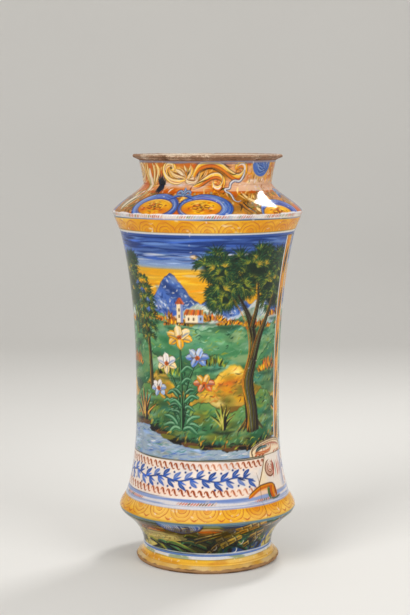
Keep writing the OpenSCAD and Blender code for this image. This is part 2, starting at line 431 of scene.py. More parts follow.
def leaf(coat, path, width, body, light=mixed(CREAM, WHITE, 0.55), line=BROWN, vein=DEEP_ORANGE):
    """A painted leaf or scroll: a dark edge, the body, a vein under its middle and lights above it."""
    p, off = np.asarray(path, float), np.array([-0.1, 0.18]) * width
    coat.brush(p, width + 0.8, line, 0.8, (0.12, 0.3))
    coat.brush(p, width, coat.shade(body), 0.97, (0.12, 0.3))
    coat.brush(p - off, width * 0.3, vein, 0.6, (0.25, 0.5))
    coat.brush(p + off * 0.7, width * 0.4, mixed(body, light, 0.55), 0.8, (0.2, 0.4))
    coat.brush(p + off * 1.4, width * 0.2, light, 0.85, (0.25, 0.5))


def strew(coat, count, low, high, paints, length, width, slant, cover, spread, edge=EDGE, line=None):
    """Strokes strewn between two heights, or heights above a line; the slant is in degrees."""
    rng = coat.rng
    for _ in range(count):
        x = rng.uniform(-0.5, 0.5) * coat.girth
        spot = np.array([x, rng.uniform(low, high) + (line(np.array([x]))[0] if line else 0)])
        turn = np.radians(slant + rng.normal(0, spread))
        way = np.array([np.cos(turn), np.sin(turn)]) * length * rng.uniform(0.5, 1.4)
        bow = np.array([-way[1], way[0]]) * rng.normal(0, spread / 140)
        paint = coat.shade(coat.pick(*paints), 0.1)
        coat.brush([spot - way / 2, spot + bow, spot + way / 2], width * rng.uniform(0.6, 1.5), paint,
                   cover * rng.uniform(0.5, 1.15), (0.35, 0.45), 3, edge)


# Neck and shoulder: points are degrees beside a middle and shares of the ornament's height

NECK_BAND = (NECK[0] - 5.5, NECK[1] - 1.4)
PALMETTE = (
    (2.6, ((0.6, 0.46), (1.6, 0.7), (0, 0.9))),
    (2.6, ((0, 0.45), (-6, 0.56), (-11, 0.66))),
    (2.8, ((1.5, 0.43), (6, 0.46), (9, 0.66))),
    (3.4, ((1, 0.46), (4.5, 0.65), (6, 0.9))),
    (2.8, ((0.5, 0.46), (-0.5, 0.67), (-4, 0.8))),
    (3.0, ((0, 0.46), (-3, 0.65), (-8, 0.75))),
    (3.2, ((0, 0.45), (-4, 0.5), (-10, 0.58), (-14, 0.72))),
    (3.4, ((2, 0.4), (10, 0.31), (15, 0.43), (18, 0.62), (19.5, 0.79))),
    (3.0, ((1, 0.42), (3, 0.35), (8.5, 0.35), (11, 0.57), (13.5, 0.77))),
    (4.4, ((0, 0.42), (-7.5, 0.36), (-14.5, 0.42), (-19, 0.62), (-18, 0.83), (-14, 0.94), (-10, 0.88),
           (-10.2, 0.77), (-13, 0.76))))
CREST = ((-12, 0.5), (-9, 0.74), (-5.5, 0.88), (0, 0.95), (5.5, 0.95), (12, 0.83), (19.5, 0.6), (26, 0.48),
         (30, 0.55), (32, 0.72), (31.5, 0.88), (28.5, 0.95), (25, 0.88), (24.8, 0.78), (27.4, 0.77))
CURL = ((-12, 0.18), (-6, 0.29), (-1, 0.43), (4, 0.54), (9.5, 0.54), (12.6, 0.4), (12, 0.22), (8.6, 0.13),
        (5.2, 0.19), (5, 0.3), (8, 0.33))
RIBBON = ((32.5, 0.76), (32.2, 0.6), (30, 0.43), (27.5, 0.37), (23.5, 0.39), (20.5, 0.32), (19.5, 0.21),
          (18, 0.13), (14.5, 0.11), (14.8, 0.04), (17.5, -0.03), (18.3, -0.13), (18.6, -0.23), (20.8, -0.29),
          (23.8, -0.24))
STALK = ((1, 0.02), (0, 0.3), (-1, 0.55), (-0.4, 0.8))
PLUME_TURN = -43.5


def pale_ground(coat, low, high):
    """The worn pale ground under the neck's scrolls, in the same places on both sides of the seam."""
    share = ramp(ring_noise(coat.angle, (2, 3, 5, 9), 31), -0.9, 0.3) * ramp(coat.Y, high + 2.5, high - 2.5)
    pink = 0.5 * ramp(ring_noise(coat.angle, (2, 5), 32), 0, 1)[:, None]
    coat.wash(0.85 * share * (coat.Y > low), mixed(NECK_PALE, PINK_WHITE, pink))
    paints = (PINK_WHITE, ORANGE, NECK_PALE, CREAM, OCHRE, mixed(LILAC, PINK_WHITE, 0.5))
    strew(coat, 240, low, high + 1, paints, 6, 1.2, 12, 0.5, 20, 0.9)


def neck_run(coat, middle, points, mirror=1):
    """Points of the neck's ornament, which may be mirrored at its middle, as places on a coat."""
    low, high = NECK_BAND[0] - coat.z[0], NECK_BAND[1] - coat.z[0]
    return np.array([coat.spot(middle + mirror * turn, low + share * (high - low)) for turn, share in points])


def palmette(coat, middle, mirror=1):
    """A curled leaf: lobes from one root over a pale wash, the outer one rolled up into a volute."""
    def run(*points):
        return neck_run(coat, middle, points, mirror)
    for spot, radii in (((-7, 0.62), (9, 5.6)), ((7, 0.56), (7, 5))):
        coat.disc(run(spot)[0], radii, mixed(CREAM, YELLOW, 0.35), 0.75, 3)
    bodies = (mixed(CREAM, YELLOW, 0.45), DEEP_YELLOW, mixed(CREAM, WHITE, 0.3))
    for k, (width, lobe) in enumerate(PALMETTE):
        path = run(*lobe)
        leaf(coat, path, width, bodies[k % 3])
        coat.brush(path - (0, 0.3 * width), 0.7, mixed(WHITE, PINK_WHITE, 0.5), 0.75, (0.15, 0.5))
        coat.brush(path + (0.2, 0.42 * width), 0.6, mixed(DEEP_ORANGE, BROWN, 0.5), 0.8, (0.2, 0.5))
    coat.disc(run((-12.4, 0.82))[0], (1.1, 1.3), mixed(OLIVE, BROWN, 0.5), 0.85)
    for start, end in (((-8, 0.46), (-1, 0.43)), ((10, 0.5), (12, 0.66)), ((14, 0.5), (16.5, 0.64)),
                       ((-15, 0.52), (-16.5, 0.7)), ((2, 0.55), (4.4, 0.76))):
        coat.dab(run(start, end), 0.9, BLACK, 0.75)


def wave_scroll(coat, middle):
    """A breaking scroll: a broad leaf that runs up, over and down and rolls up, with a curl under it."""
    lights = ((-0.42, 0.9, ORANGE), (-0.6, 0.7, BROWN), (-0.08, 0.7, DEEP_ORANGE), (0.2, 0.9, LEMON),
              (0.48, 1.0, mixed(CREAM, WHITE, 0.4)), (0.66, 0.5, BROWN))
    for points, width, body in ((CREST, 5.4, YELLOW), (CURL, 4.4, mixed(YELLOW, CREAM, 0.4))):
        path = neck_run(coat, middle, points)
        leaf(coat, path, width, body, mixed(CREAM, YELLOW, 0.3), vein=ORANGE)
        for shift, thick, paint in lights:
            coat.brush(path + (0, shift * width), thick, paint, 0.8, (0.15, 0.3))
    coat.brush(neck_run(coat, middle, CREST[8:13]) + (0.4, 0), 1.6, mixed(PINK_WHITE, WHITE, 0.4), 0.85)
    coat.brush(neck_run(coat, middle, CURL[6:10]), 1.6, PINK_WHITE, 0.85)
    for points in (((13, 0.97), (16, 0.89), (20, 0.84)), ((16, 0.72), (22, 0.6), (28, 0.68)),
                   ((-9, 0.62), (1, 0.8), (9, 0.7), (16, 0.5)), ((-11, 0.26), (-4, 0.38), (2, 0.47)),
                   ((10, 0.08), (13, 0.14), (17, 0.12))):
        coat.brush(neck_run(coat, middle, points), 0.9, BLACK, 0.75, (0.3, 0.5))


def neck_ornament(coat):
    """The neck's scrolls, twice round: they cross the seam, so the neck and the shoulder both carry them."""
    for turn in (0, 180):
        stem = turn - 57.5
        for bend in (-6, 9, -3, 5):
            blade = neck_run(coat, stem, ((0, 0.1), (bend, 0.45), (bend * 1.3, 0.75), (bend, 0.97)))
            leaf(coat, blade, 3.0, (YELLOW, mixed(CREAM, YELLOW, 0.3))[bend % 2])
        stalk = neck_run(coat, stem, STALK)
        coat.lined(stalk, 5.0, mixed(WHITE, CREAM, 0.35), OLIVE, 0.5, taper=(0.05, 0.5))
        coat.brush(stalk + (1.2, 0), 1.2, mixed(PINK_WHITE, RED, 0.3), 0.7)
        coat.brush(stalk[:3] - (1.4, 0), 0.9, OLIVE, 0.7)
        for side in (-36, -24, -8):
            pale = neck_run(coat, turn + side, ((0, 0.24),))[0]
            coat.disc(pale, (7, 2.6), mixed(PINK_WHITE, LILAC, 0.2), 0.75, 3)
        palmette(coat, turn - 19.5)
        palmette(coat, turn + 92, -1)
        wave_scroll(coat, turn)
        ribbon = neck_run(coat, turn, RIBBON)
        coat.lined(ribbon, 1.5, WHITE, mixed(BLACK, BLUE, 0.4), 0.5, cover=0.95, taper=(0.1, 0.25))
        coat.brush(ribbon + (0.4, -0.3), 0.6, LILAC, 0.7)


def plume(coat, x, y, height, taper):
    """A black plume: a tuft of pointed dark strokes from one root, with thin lights between them."""
    for lean, share in zip(np.linspace(-3.8, 4.2, 8), (0.68, 0.9, 0.76, 1.0, 0.8, 1.05, 0.72, 0.6)):
        tall = height * share
        path = np.array([(0.4 * lean, 0), (0.8 * lean, tall * 0.5), (1.05 * lean, tall)]) + (x, y)
        coat.brush(path, 1.6, mixed(BLACK, DEEP_BLUE, coat.rng.uniform(0, 0.4)), 0.97, taper)
        coat.brush(path[1:] + (0.7, 0), 0.5, PALE_BLUE, 0.4, (0.3, 0.5), 3)


def orange_ground(coat, pale, dull=0.0):
    """Orange, ochre and yellow brushed wet into one another, with pale places, and duller where asked."""
    coat.wash(1, mixed(mixed(ORANGE, OCHRE, 0.5), OLIVE, dull))
    coat.mottle(0.8, (18, 7), 0.42, 0.65, mixed(ORANGE, OCHRE, dull))
    coat.mottle(0.85, (22, 9), 0.48, 0.66, mixed(DEEP_YELLOW, OCHRE, 0.4 + dull))
    coat.mottle(pale, (24, 9, 2), 0.48, 0.64, (222, 172, 132))
    paints = (ORANGE, OCHRE, DEEP_ORANGE, YELLOW, DEEP_YELLOW, CREAM)
    strew(coat, 420, 0, coat.y[-1], paints, 7, 1.2, 40, 0.55, 30, 0.9)


def paint_neck(coat):
    """Orange ground with cream scrolls, blue half discs and black plumes, under a blue line."""
    top, rng = coat.y[-1], coat.rng
    grasses = (CREAM, OCHRE, YELLOW, BROWN, WHITE, GREY_GREEN)
    orange_ground(coat, 0.75)
    pale_ground(coat, -1, 5)
    for turn in (0, 180):
        for k in range(46):
            x, y, tall = coat.at(turn + 38 + 1.6 * k), rng.uniform(0.5, 10), rng.uniform(3, 8)
            paint = coat.shade(grasses[k % 6])
            coat.brush([(x, y), (x + 0.8, y + tall * 0.6), (x + 0.4, y + tall)], 1.1, paint, 0.75)
    neck_ornament(coat)
    for turn in (0, 180):
        plume(coat, coat.at(turn + PLUME_TURN), -2, 11, (0, 0.6))
        moon = np.array([coat.at(turn + 52), top - 3])
        coat.disc(moon, (12.4, 11.2), mixed(CREAM, OCHRE, 0.4), 0.7, 1.5)
        coat.disc(moon, (10.8, 9.8), mixed(BLUE, SKY_BLUE, 0.4))
        for radius in (9.6, 7.8, 6.0, 4.2, 2.4):
            swirl = spiral(moon, radius, radius * 0.75, 190 + 50 * radius, 0.7, 9)
            swirl = swirl + rng.normal(0, 0.5, swirl.shape)
            coat.brush(swirl, 0.8, coat.shade(PALE_BLUE), 0.75)
            coat.brush(swirl + (0.8, 0.7), 0.8, DEEP_BLUE, 0.75)
    coat.rule(top - 0.7, 1.9, mixed(LILAC, OCHRE, 0.25), 0.45 + 0.5 * ramp(coat.cloud(20, 6), 0.4, 0.6), 0.15)
    coat.rule(top - 1.9, 0.6, BLUE, 0.6 * ramp(coat.cloud(26, 9, 2), 0.4, 0.55))
    coat.flecks(60, 0.9, PINK_WHITE)


def rosette(coat, centre, size):
    """A rosette in dark line: a ring of petals round a small eye."""
    for turn in np.arange(6) * np.pi / 3 + 0.3:
        way = np.array([np.cos(turn), 0.62 * np.sin(turn)]) * size
        side = np.array([-np.sin(turn), 0.62 * np.cos(turn)]) * size * 0.34
        coat.brush(centre + np.array([way * 0.25, way * 0.6 + side, way * 0.9]), 1.0, BROWN, 0.85, (0.2, 0.5))
        petal = centre + np.array([way * 0.3, way * 0.6 - side, way * 0.85])
        coat.brush(petal, 0.8, DEEP_ORANGE, 0.85, (0.2, 0.5))
        tip = centre + np.array([way * 1.15 - side * 0.6, way * 1.2 + side * 0.6])
        coat.dab(tip, 0.7, BROWN, 0.7, (0.2, 0.2))
    coat.disc(centre, (1.3, 0.9), BROWN, 0.85)


def roundel(coat, x, y, shift):
    """A blue ringed roundel, cut by the shoulder's edge: brushed rings of blue round a yellow field."""
    rng = coat.rng
    centre, half = np.array([x, y]), np.array([19.4, 15.2])
    coat.disc(centre, half + 0.8, BROWN, 0.6)
    coat.disc(centre, half, BLUE)

    def ring(turn, radii):
        return np.stack([np.cos(turn), np.sin(turn)], -1) * radii
    for share in np.linspace(0.98, 0.7, 40):
        turn = np.radians(np.linspace(-30, 130, 9) + rng.uniform(-50, 130))
        path = centre + (shift * (0.98 - share) * 3, 0) + ring(turn, half * share)
        paint = coat.pick(DEEP_BLUE, BLUE, SKY_BLUE, LILAC, PALE_BLUE, VIOLET)
        path = path + rng.normal(0, 0.25, path.shape)
        coat.brush(path, rng.uniform(0.5, 1.4), coat.shade(paint), 0.75, (0.4, 0.4))
    inner = centre + (shift, -0.5)
    coat.disc(inner, (14.6, 9.9), DEEP_BLUE, 0.9)
    coat.disc(inner, (14.0, 9.4), OCHRE)
    coat.disc(inner, (13.2, 8.6), YELLOW, 0.9, 2)
    for side, lift, paint in ((7, -4, ORANGE), (-9, -3, ORANGE), (-2, 4, CREAM), (5, 3, LEMON)):
        coat.disc(inner + (side, lift), (5, 3.4), paint, 0.5, 3)
    coat.brush(inner + ring(np.radians(np.linspace(15, 165, 9)), (13.2, 8.7)), 0.8, CREAM, 0.75)
    for _ in range(40):
        spot = inner + ring(rng.uniform(0, FULL_TURN), (13, 8.4)) * rng.uniform(0.2, 0.82)
        paint = coat.shade(coat.pick(DEEP_YELLOW, ORANGE, LEMON))
        coat.dab([spot - (1.4, 0.3), spot + (1.4, 0.4)], 1.5, paint, 0.5, (0.3, 0.3))
    rosette(coat, inner + (0, 0.3), 7.6)


def acanthus(coat, x, lift, mirror):
    """A curled leaf of the shoulder: four blades over a stem that rolls up at its foot."""
    for lean in (-7, -3, 4, 8):
        blade = np.array([(0, 19), (lean * 0.5, 24), (lean, 29)]) + (x, lift)
        leaf(coat, blade, 2.2, (OCHRE, CREAM, YELLOW)[lean % 3])
    curl = spiral((mirror * 5, 12), 6.4, 1.4, 90, -0.9 * mirror, 10)
    stem = np.vstack([[(-mirror * 3, 32), (0, 24)], curl]) + (x, lift)
    leaf(coat, stem, 3.4, (YELLOW, CREAM)[mirror > 0])
    coat.brush([(x - 5, 6), (x + 2, 9), (x + 8, 5)], 1.6, coat.shade(OLIVE), 0.7)


def knot(coat, middle):
    """The blue knot that ties two roundels together: three cords under a tuft of leaves."""
    for drop, paint in ((3.6, DEEP_BLUE), (2.6, BLUE), (1.6, mixed(SKY_BLUE, BLUE, 0.4))):
        cord = middle + np.array([(-11, -4), (-3, 0.6), (3, 0.6), (11, -4)]) - (0, drop)
        coat.brush(cord, 1.7, coat.shade(paint), 0.9)
    for wing in (((0, -3), (0.6, 3), (0, 7)), ((0, -1), (-3, 3), (-5.6, 1.6), (-5, -1.4)),
                 ((0, -1), (3, 3), (5.6, 1.6), (5, -1.4)), ((-1, -2), (-4, -1), (-8, -2.6)),
                 ((1, -2), (4, -1), (8, -2.6))):
        path = middle + np.array(wing)
        paint = coat.shade(mixed(SKY_BLUE, GREY_GREEN, 0.35))
        coat.lined(path, 2.2, paint, DEEP_BLUE, 0.4, taper=(0.1, 0.4))
        coat.brush(path + (0.3, 0.4), 0.7, PALE_BLUE, 0.7)


def paint_shoulder(coat):
    """Orange and ochre ground with ringed roundels, leaves between them and the white edge below."""
    top, up, spot = coat.y[-1], coat.up, coat.spot
    brim = up(NECK_BAND[0] - coat.z[0])
    orange_ground(coat, 0.2, 0.45)
    paints = (OCHRE, OLIVE, YELLOW, DEEP_YELLOW, GREY_GREEN, CREAM, ORANGE, PINK_WHITE)
    strew(coat, 260, up(9), top, paints, 13, 2.0, 85, 0.7, 14, 0.9)
    strew(coat, 300, 2, top, (OCHRE, BROWN, DEEP_ORANGE, ORANGE, DEEP_YELLOW, OLIVE), 9, 1.3, 70, 0.65, 30)
    coat.mottle(0.4, (24, 9), 0.5, 0.7, BROWN)
    strew(coat, 340, 2, top, (BROWN, BLACK, CREAM, YELLOW, BROWN), 8, 0.8, 50, 0.7, 40)
    for turn, mirror, lift in ((30, 1, -4), (128, 1, 0), (142, -1, 2), (234, 1, 0), (246, -1, 3), (290, 1, 0),
                               (302, -1, 2), (-80, -1, 3)):
        acanthus(coat, coat.at(turn), lift, mirror)
    for turn in (-64, 116):
        blade = np.array([spot(turn + 7, 18), spot(turn + 2, 14), spot(turn - 2, 9), spot(turn - 2, 3)])
        leaf(coat, blade, 11, mixed(CREAM, PINK_WHITE, 0.5), WHITE, OLIVE, OLIVE)
        coat.brush(blade + (6.5, 0), 2.0, OCHRE, 0.8)
        coat.brush(blade - (6.5, 0), 2.0, mixed(BROWN, OLIVE, 0.5), 0.8)
    ragged = brim + 7 * (coat.cloud(14, 20) - 0.5)
    coat.fill(ragged - 1.4, ragged + 1.4, mixed(ORANGE, OCHRE, 0.3))
    pale_ground(coat, brim + 1.5, top + 9)
    coat.rule(brim, 1.8, mixed(ORANGE, DEEP_ORANGE, 0.3), ramp(coat.cloud(30, 20, 2), 0.5, 0.65), 0.3)
    paints = (YELLOW, CREAM, OLIVE, OCHRE, DEEP_ORANGE, PINK_WHITE, ORANGE)
    strew(coat, 150, up(13), up(20), paints, 8, 1.5, 60, 0.75, 35, 0.7)
    for turn in (-19, 73, 189):
        coat.disc((coat.at(turn), 3), (6, 6), ORANGE, 0.9, 2)
    for turn, y, shift in ((-36, 9.4, 0.8), (-1.4, 9.4, -3), (51, 1.4, -4), (96, 9.4, 0), (172, 9.4, 1),
                           (206, 9.4, -2), (266, 4, 0)):
        roundel(coat, coat.at(turn), y, shift)
    for turn in (-18.8, 74, 189):
        knot(coat, spot(turn, 16))
    neck_ornament(coat)
    for turn in (0, 180):
        plume(coat, coat.at(turn + PLUME_TURN), top + 2, -13, (0, 0.4))
        twig = np.array([spot(turn + 21, 10), spot(turn + 23, 6), spot(turn + 27, 1.5)])
        for shift, paint in ((0, BROWN), (2, OCHRE), (3.6, BLACK)):
            coat.brush(twig + (shift, 0), 1.4, paint, 0.8)
    ragged = 1.6 * (coat.cloud(6, 20) - 0.5)
    coat.fill(1.6 + ragged, 1.0 + ragged, mixed(BRIGHT_WHITE, LILAC, 0.12))
    hatch(coat, -0.8)
    coat.flecks(80, 1.0, PINK_WHITE, 0.45)


# Banner and base

SCROLL_ENDS = ((48, 1), (-150, -1))  # degrees from the front, and the way that each end faces
HOOKS, HOOK_TALL = 76, 4.9
HOOK = np.array([(-2.2, 0.1), (-2.0, 1.0), (-1.2, 1.7), (-0.4, 1.2), (0.3, -0.3), (1.0, -1.5), (1.9, -1.7),
                 (2.8, -1.3)])


def chain(coat, y):
    """A running chain of red-brown hooks: each starts in a curl, falls aslant and ends in a flat tail."""
    press = 0.78 + 0.35 * np.sin(np.arange(HOOKS) * 0.37 + y) * np.sin(np.arange(HOOKS) * 0.11)
    for k in range(HOOKS):
        x = coat.x[0] + k * coat.girth / HOOKS + coat.rng.normal(0, 0.25)
        path = HOOK * (1.05, HOOK_TALL / 3.6) + (x, y + coat.rng.normal(0, 0.25))
        strength = np.clip(1.4 * press[k] - 0.3 * coat.rng.random(), 0, 1)
        paint = mixed((218, 136, 100), mixed(DEEP_ORANGE, BROWN, 0.2), strength)
        coat.brush(path, 0.9, paint, press[k], (0.1, 0.1), 4)
        coat.brush(path[2:6], 1.7, paint, press[k], (0.3, 0.3), 4)


def vine(coat, start, end, y):
    """A blue laurel spray: a waving stem with pointed leaves on both sides, and berries between them."""
    x0, x1 = coat.at(start), coat.at(end)
    units = int(round((x1 - x0) / 9.5))
    step = (x1 - x0) / units

    def stem(share):
        return np.array([x0 + share * step, y + 1.3 * np.sin(share * 1.9)])
    coat.brush([stem(share) for share in np.arange(0, units + 0.1, 0.5)], 1.2, DEEP_BLUE, 0.9, (0.02, 0.02))
    for k in range(units):
        for side, lag in ((1, 0.0), (-1, 0.45)):
            root, flip = stem(k + lag), np.array([1, side])
            lift = coat.rng.uniform(0.9, 1.1)
            paint = mixed(BLUE, coat.pick(DEEP_BLUE, LILAC), coat.rng.uniform(0.1, 0.7))
            blade = np.array([(0, 0), (1.6, 3.2), (4.6, 5.4), (6.4 * lift, 7.0 * lift)])
            coat.brush(root + blade * flip, 3.0, paint, 0.95, (0.4, 0.5))
            blade = np.array([(0, 0), (3.2, 1.4), (7, 3)])
            coat.brush(root + blade * flip, 1.9, coat.shade(BLUE, 0.15), 0.9, (0.35, 0.5))
            light = np.array([(0.8, 2.2), (4.4, 5.6)])
            coat.dab(root + light * flip, 0.5, PALE_BLUE, 0.6, (0.3, 0.4))
            coat.disc(root + (0.6, 6.4) * flip, (0.9, 0.9), DEEP_BLUE, 0.85)


def banner_end(coat, x, way):
    """Where the banner ends: its fold, the hanging strip with red volutes, and the orange bow under it."""
    top = coat.y[-1]
    side = (coat.X - x) * way
    fold = 0.44 * coat.Y
    hang = ramp(side, -15.1 + fold, -14.5 + fold) * ramp(side, 32, 31) * ramp(coat.Y, 6, 8)
    coat.wash(hang, mixed(WHITE, PINK_WHITE, 0.4))
    coat.wash(hang * ramp(side, 20, 30) * 0.6, LILAC)
    coat.wash(hang * 0.35 * ramp(side, 6, -4), CREAM)

    def run(*points):
        return np.array(points) * (way, 1) + (x, 0)
    coat.brush(run((1, top), (-3.5, top * 0.66), (-9, 13)), 0.9, BROWN, 0.9, (0.05, 0.1))
    coat.brush(run((27, top), (29.5, top * 0.5), (26, 5)), 0.9, BROWN, 0.8)
    for radius, width, other, share in ((7.2, 1.4, BROWN, 0.4), (5.4, 1.0, PINK_WHITE, 0.4),
                                        (3.8, 1.2, BROWN, 0.5), (1.8, 1.0, BROWN, 0)):
        volute = spiral(run((7.6, top * 0.7))[0], radius, radius * 0.72, 100, 0.98 * way)
        coat.brush(volute, width, coat.shade(mixed(RUST, other, share)), 0.9, (0.1, 0.2))
    for shift, drop, width, paint in ((11.5, 4, 1.8, RED), (15.6, 5, 1.2, GREY_GREEN), (19, 6, 2.0, RED),
                                      (22, 3, 1.2, RUST), (25, 8, 1.4, RED)):
        streak = run((shift - 0.6, top - drop), (shift + 0.4, top * 0.62), (shift - 0.4, top * 0.46))
        coat.brush(streak, width, coat.shade(paint), 0.75)
    for lift, width, paint, cover in ((8.4, 5.4, mixed(CREAM, ORANGE, 0.35), 0.97),
                                      (7.2, 3.2, mixed(PINK_WHITE, ORANGE, 0.2), 0.85)):
        coat.brush(run((-17, lift - 1.4), (-8, lift), (2, lift)), width, paint, cover, (0.15, 0.05))
    bow = run((-20, 5.4), (-15.4, 8.6), (-9, 11.8), (-4, 12.8), (5, 12.8), (9.2, 10.6), (10.4, 3))
    for drop, width, paint, cover in ((1.2, 3.2, mixed(ORANGE, OCHRE, 0.35), 0.95),
                                      (0.6, 1.2, DEEP_YELLOW, 0.7), (-0.6, 0.9, BROWN, 0.9)):
        coat.brush(bow - (0, drop), width, paint, cover, (0.12, 0.05))
    for shift, width, paint in ((6, 5.4, ORANGE), (7.4, 2, DEEP_YELLOW), (1.4, 2.0, mixed(GREEN, OLIVE, 0.5)),
                                (3, 1.0, mixed(BLACK, GREEN, 0.4)), (10.6, 0.9, BROWN)):
        tail = run((shift, 11.4), (shift - 0.6, 6), (shift + 0.8, 0.6))
        coat.brush(tail, width, coat.shade(paint), 0.85, (0.2, 0.3))
    coat.brush(run((2, 1.6), (8, 0.6), (16, 2)), 2.0, mixed(OLIVE, BLUE, 0.4), 0.7)


def paint_banner(coat):
    """White banner with a blue vine between two red chains, its folded ends, and rulings below."""
    top, up = coat.y[-1], coat.up
    coat.wash(1, mixed(WHITE, PINK_WHITE, 0.6))
    coat.mottle(0.6, (30, 12), 0.45, 0.75, (238, 208, 192))
    coat.mottle(0.3, (12, 8), 0.5, 0.8, mixed(PALE_BLUE, WHITE, 0.3))
    for y in (up(coat.tall - 4.7), up(9.8)):
        coat.wash(0.4 * np.exp(-((coat.Y - y) / 3.2) ** 2) * coat.cloud(20, 9), (240, 184, 150))
        chain(coat, y)
    for start, end in ((-132, 36), (78, 194)):
        vine(coat, start, end, up(20))
    coat.rule(top - 0.3, 0.9, mixed(BROWN, DEEP_GREEN, 0.4), 0.85)
    rulings = ramp(coat.Y, up(5.4) + 0.3, up(5.4) - 0.5)
    coat.wash(rulings, mixed(PINK_WHITE, PALE_BLUE, 0.35))
    coat.mottle(0.4 * rulings, (22, 5), 0.5, 0.7, PINK_WHITE)
    thin = ramp(coat.cloud(70, 40, 2), 0.42, 0.6)
    coat.rule(up(4), 2.8, mixed(LILAC, PALE_BLUE, 0.35), 0.9)
    coat.rule(up(4.4), 1.5, mixed(SKY_BLUE, LILAC, 0.5), 0.85 * thin)
    coat.rule(up(0.7), 1.3, mixed(LILAC, PALE_BLUE, 0.4), 0.7 * (1 - thin))
    coat.rule(up(5.6), 0.5, mixed(BROWN, DEEP_BLUE, 0.5), 0.5 * (1 - thin))
    for turn in np.arange(-180, 180, 2.0):
        x, paint = coat.at(turn), mixed(coat.pick(RUST, RED, BROWN, RED), PINK_WHITE, 0.15)
        press = 0.85 * ramp(np.sin(turn / 9 + 2.6), -0.1, 0.5)
        coat.dab([(x, up(0.6)), (x + 2.6, up(2.8))], 1.0, paint, press, (0.2, 0.3))
    for turn, way in SCROLL_ENDS:
        banner_end(coat, coat.at(turn), way)
    coat.brush([(coat.at(39), up(23)), (coat.at(41), up(13)), (coat.at(40.5), 0)], 0.5, BROWN, 0.7)
    coat.flecks(40, 1.1, mixed(PINK_WHITE, OCHRE, 0.3))


GOLDS = (mixed(OLIVE, OCHRE, 0.5), mixed(OLIVE, YELLOW, 0.4), mixed(OCHRE, OLIVE, 0.3))
STAVES = (((0, -0.02), (17, 0.44), 3.6), ((10, 0.36), (27, 0.62), 7.5), ((14, 0.24), (30, 0.5), 6.0),
          ((26, 0.66), (44, 0.94), 8.0), ((22, 0.78), (36, 0.96), 4.5), ((38, 0.42), (54, 0.62), 7.0),
          ((34, 0.2), (50, 0.44), 4.5), ((46, 0.7), (62, 0.98), 5.0))
FRONDS = ((-56, -34, 0.2, YELLOW_GREEN), (-44, -18, 0.2, MEADOW),
          (-34, -6, 0.2, mixed(GREEN, YELLOW_GREEN, 0.5)), (-16, 6, 0.46, GREEN),
          (-18, 8, 0.24, mixed(GREEN, MEADOW, 0.5)), (20, 40, 0.22, GREEN),
          (36, 56, 0.34, mixed(OLIVE, GREEN, 0.4)))


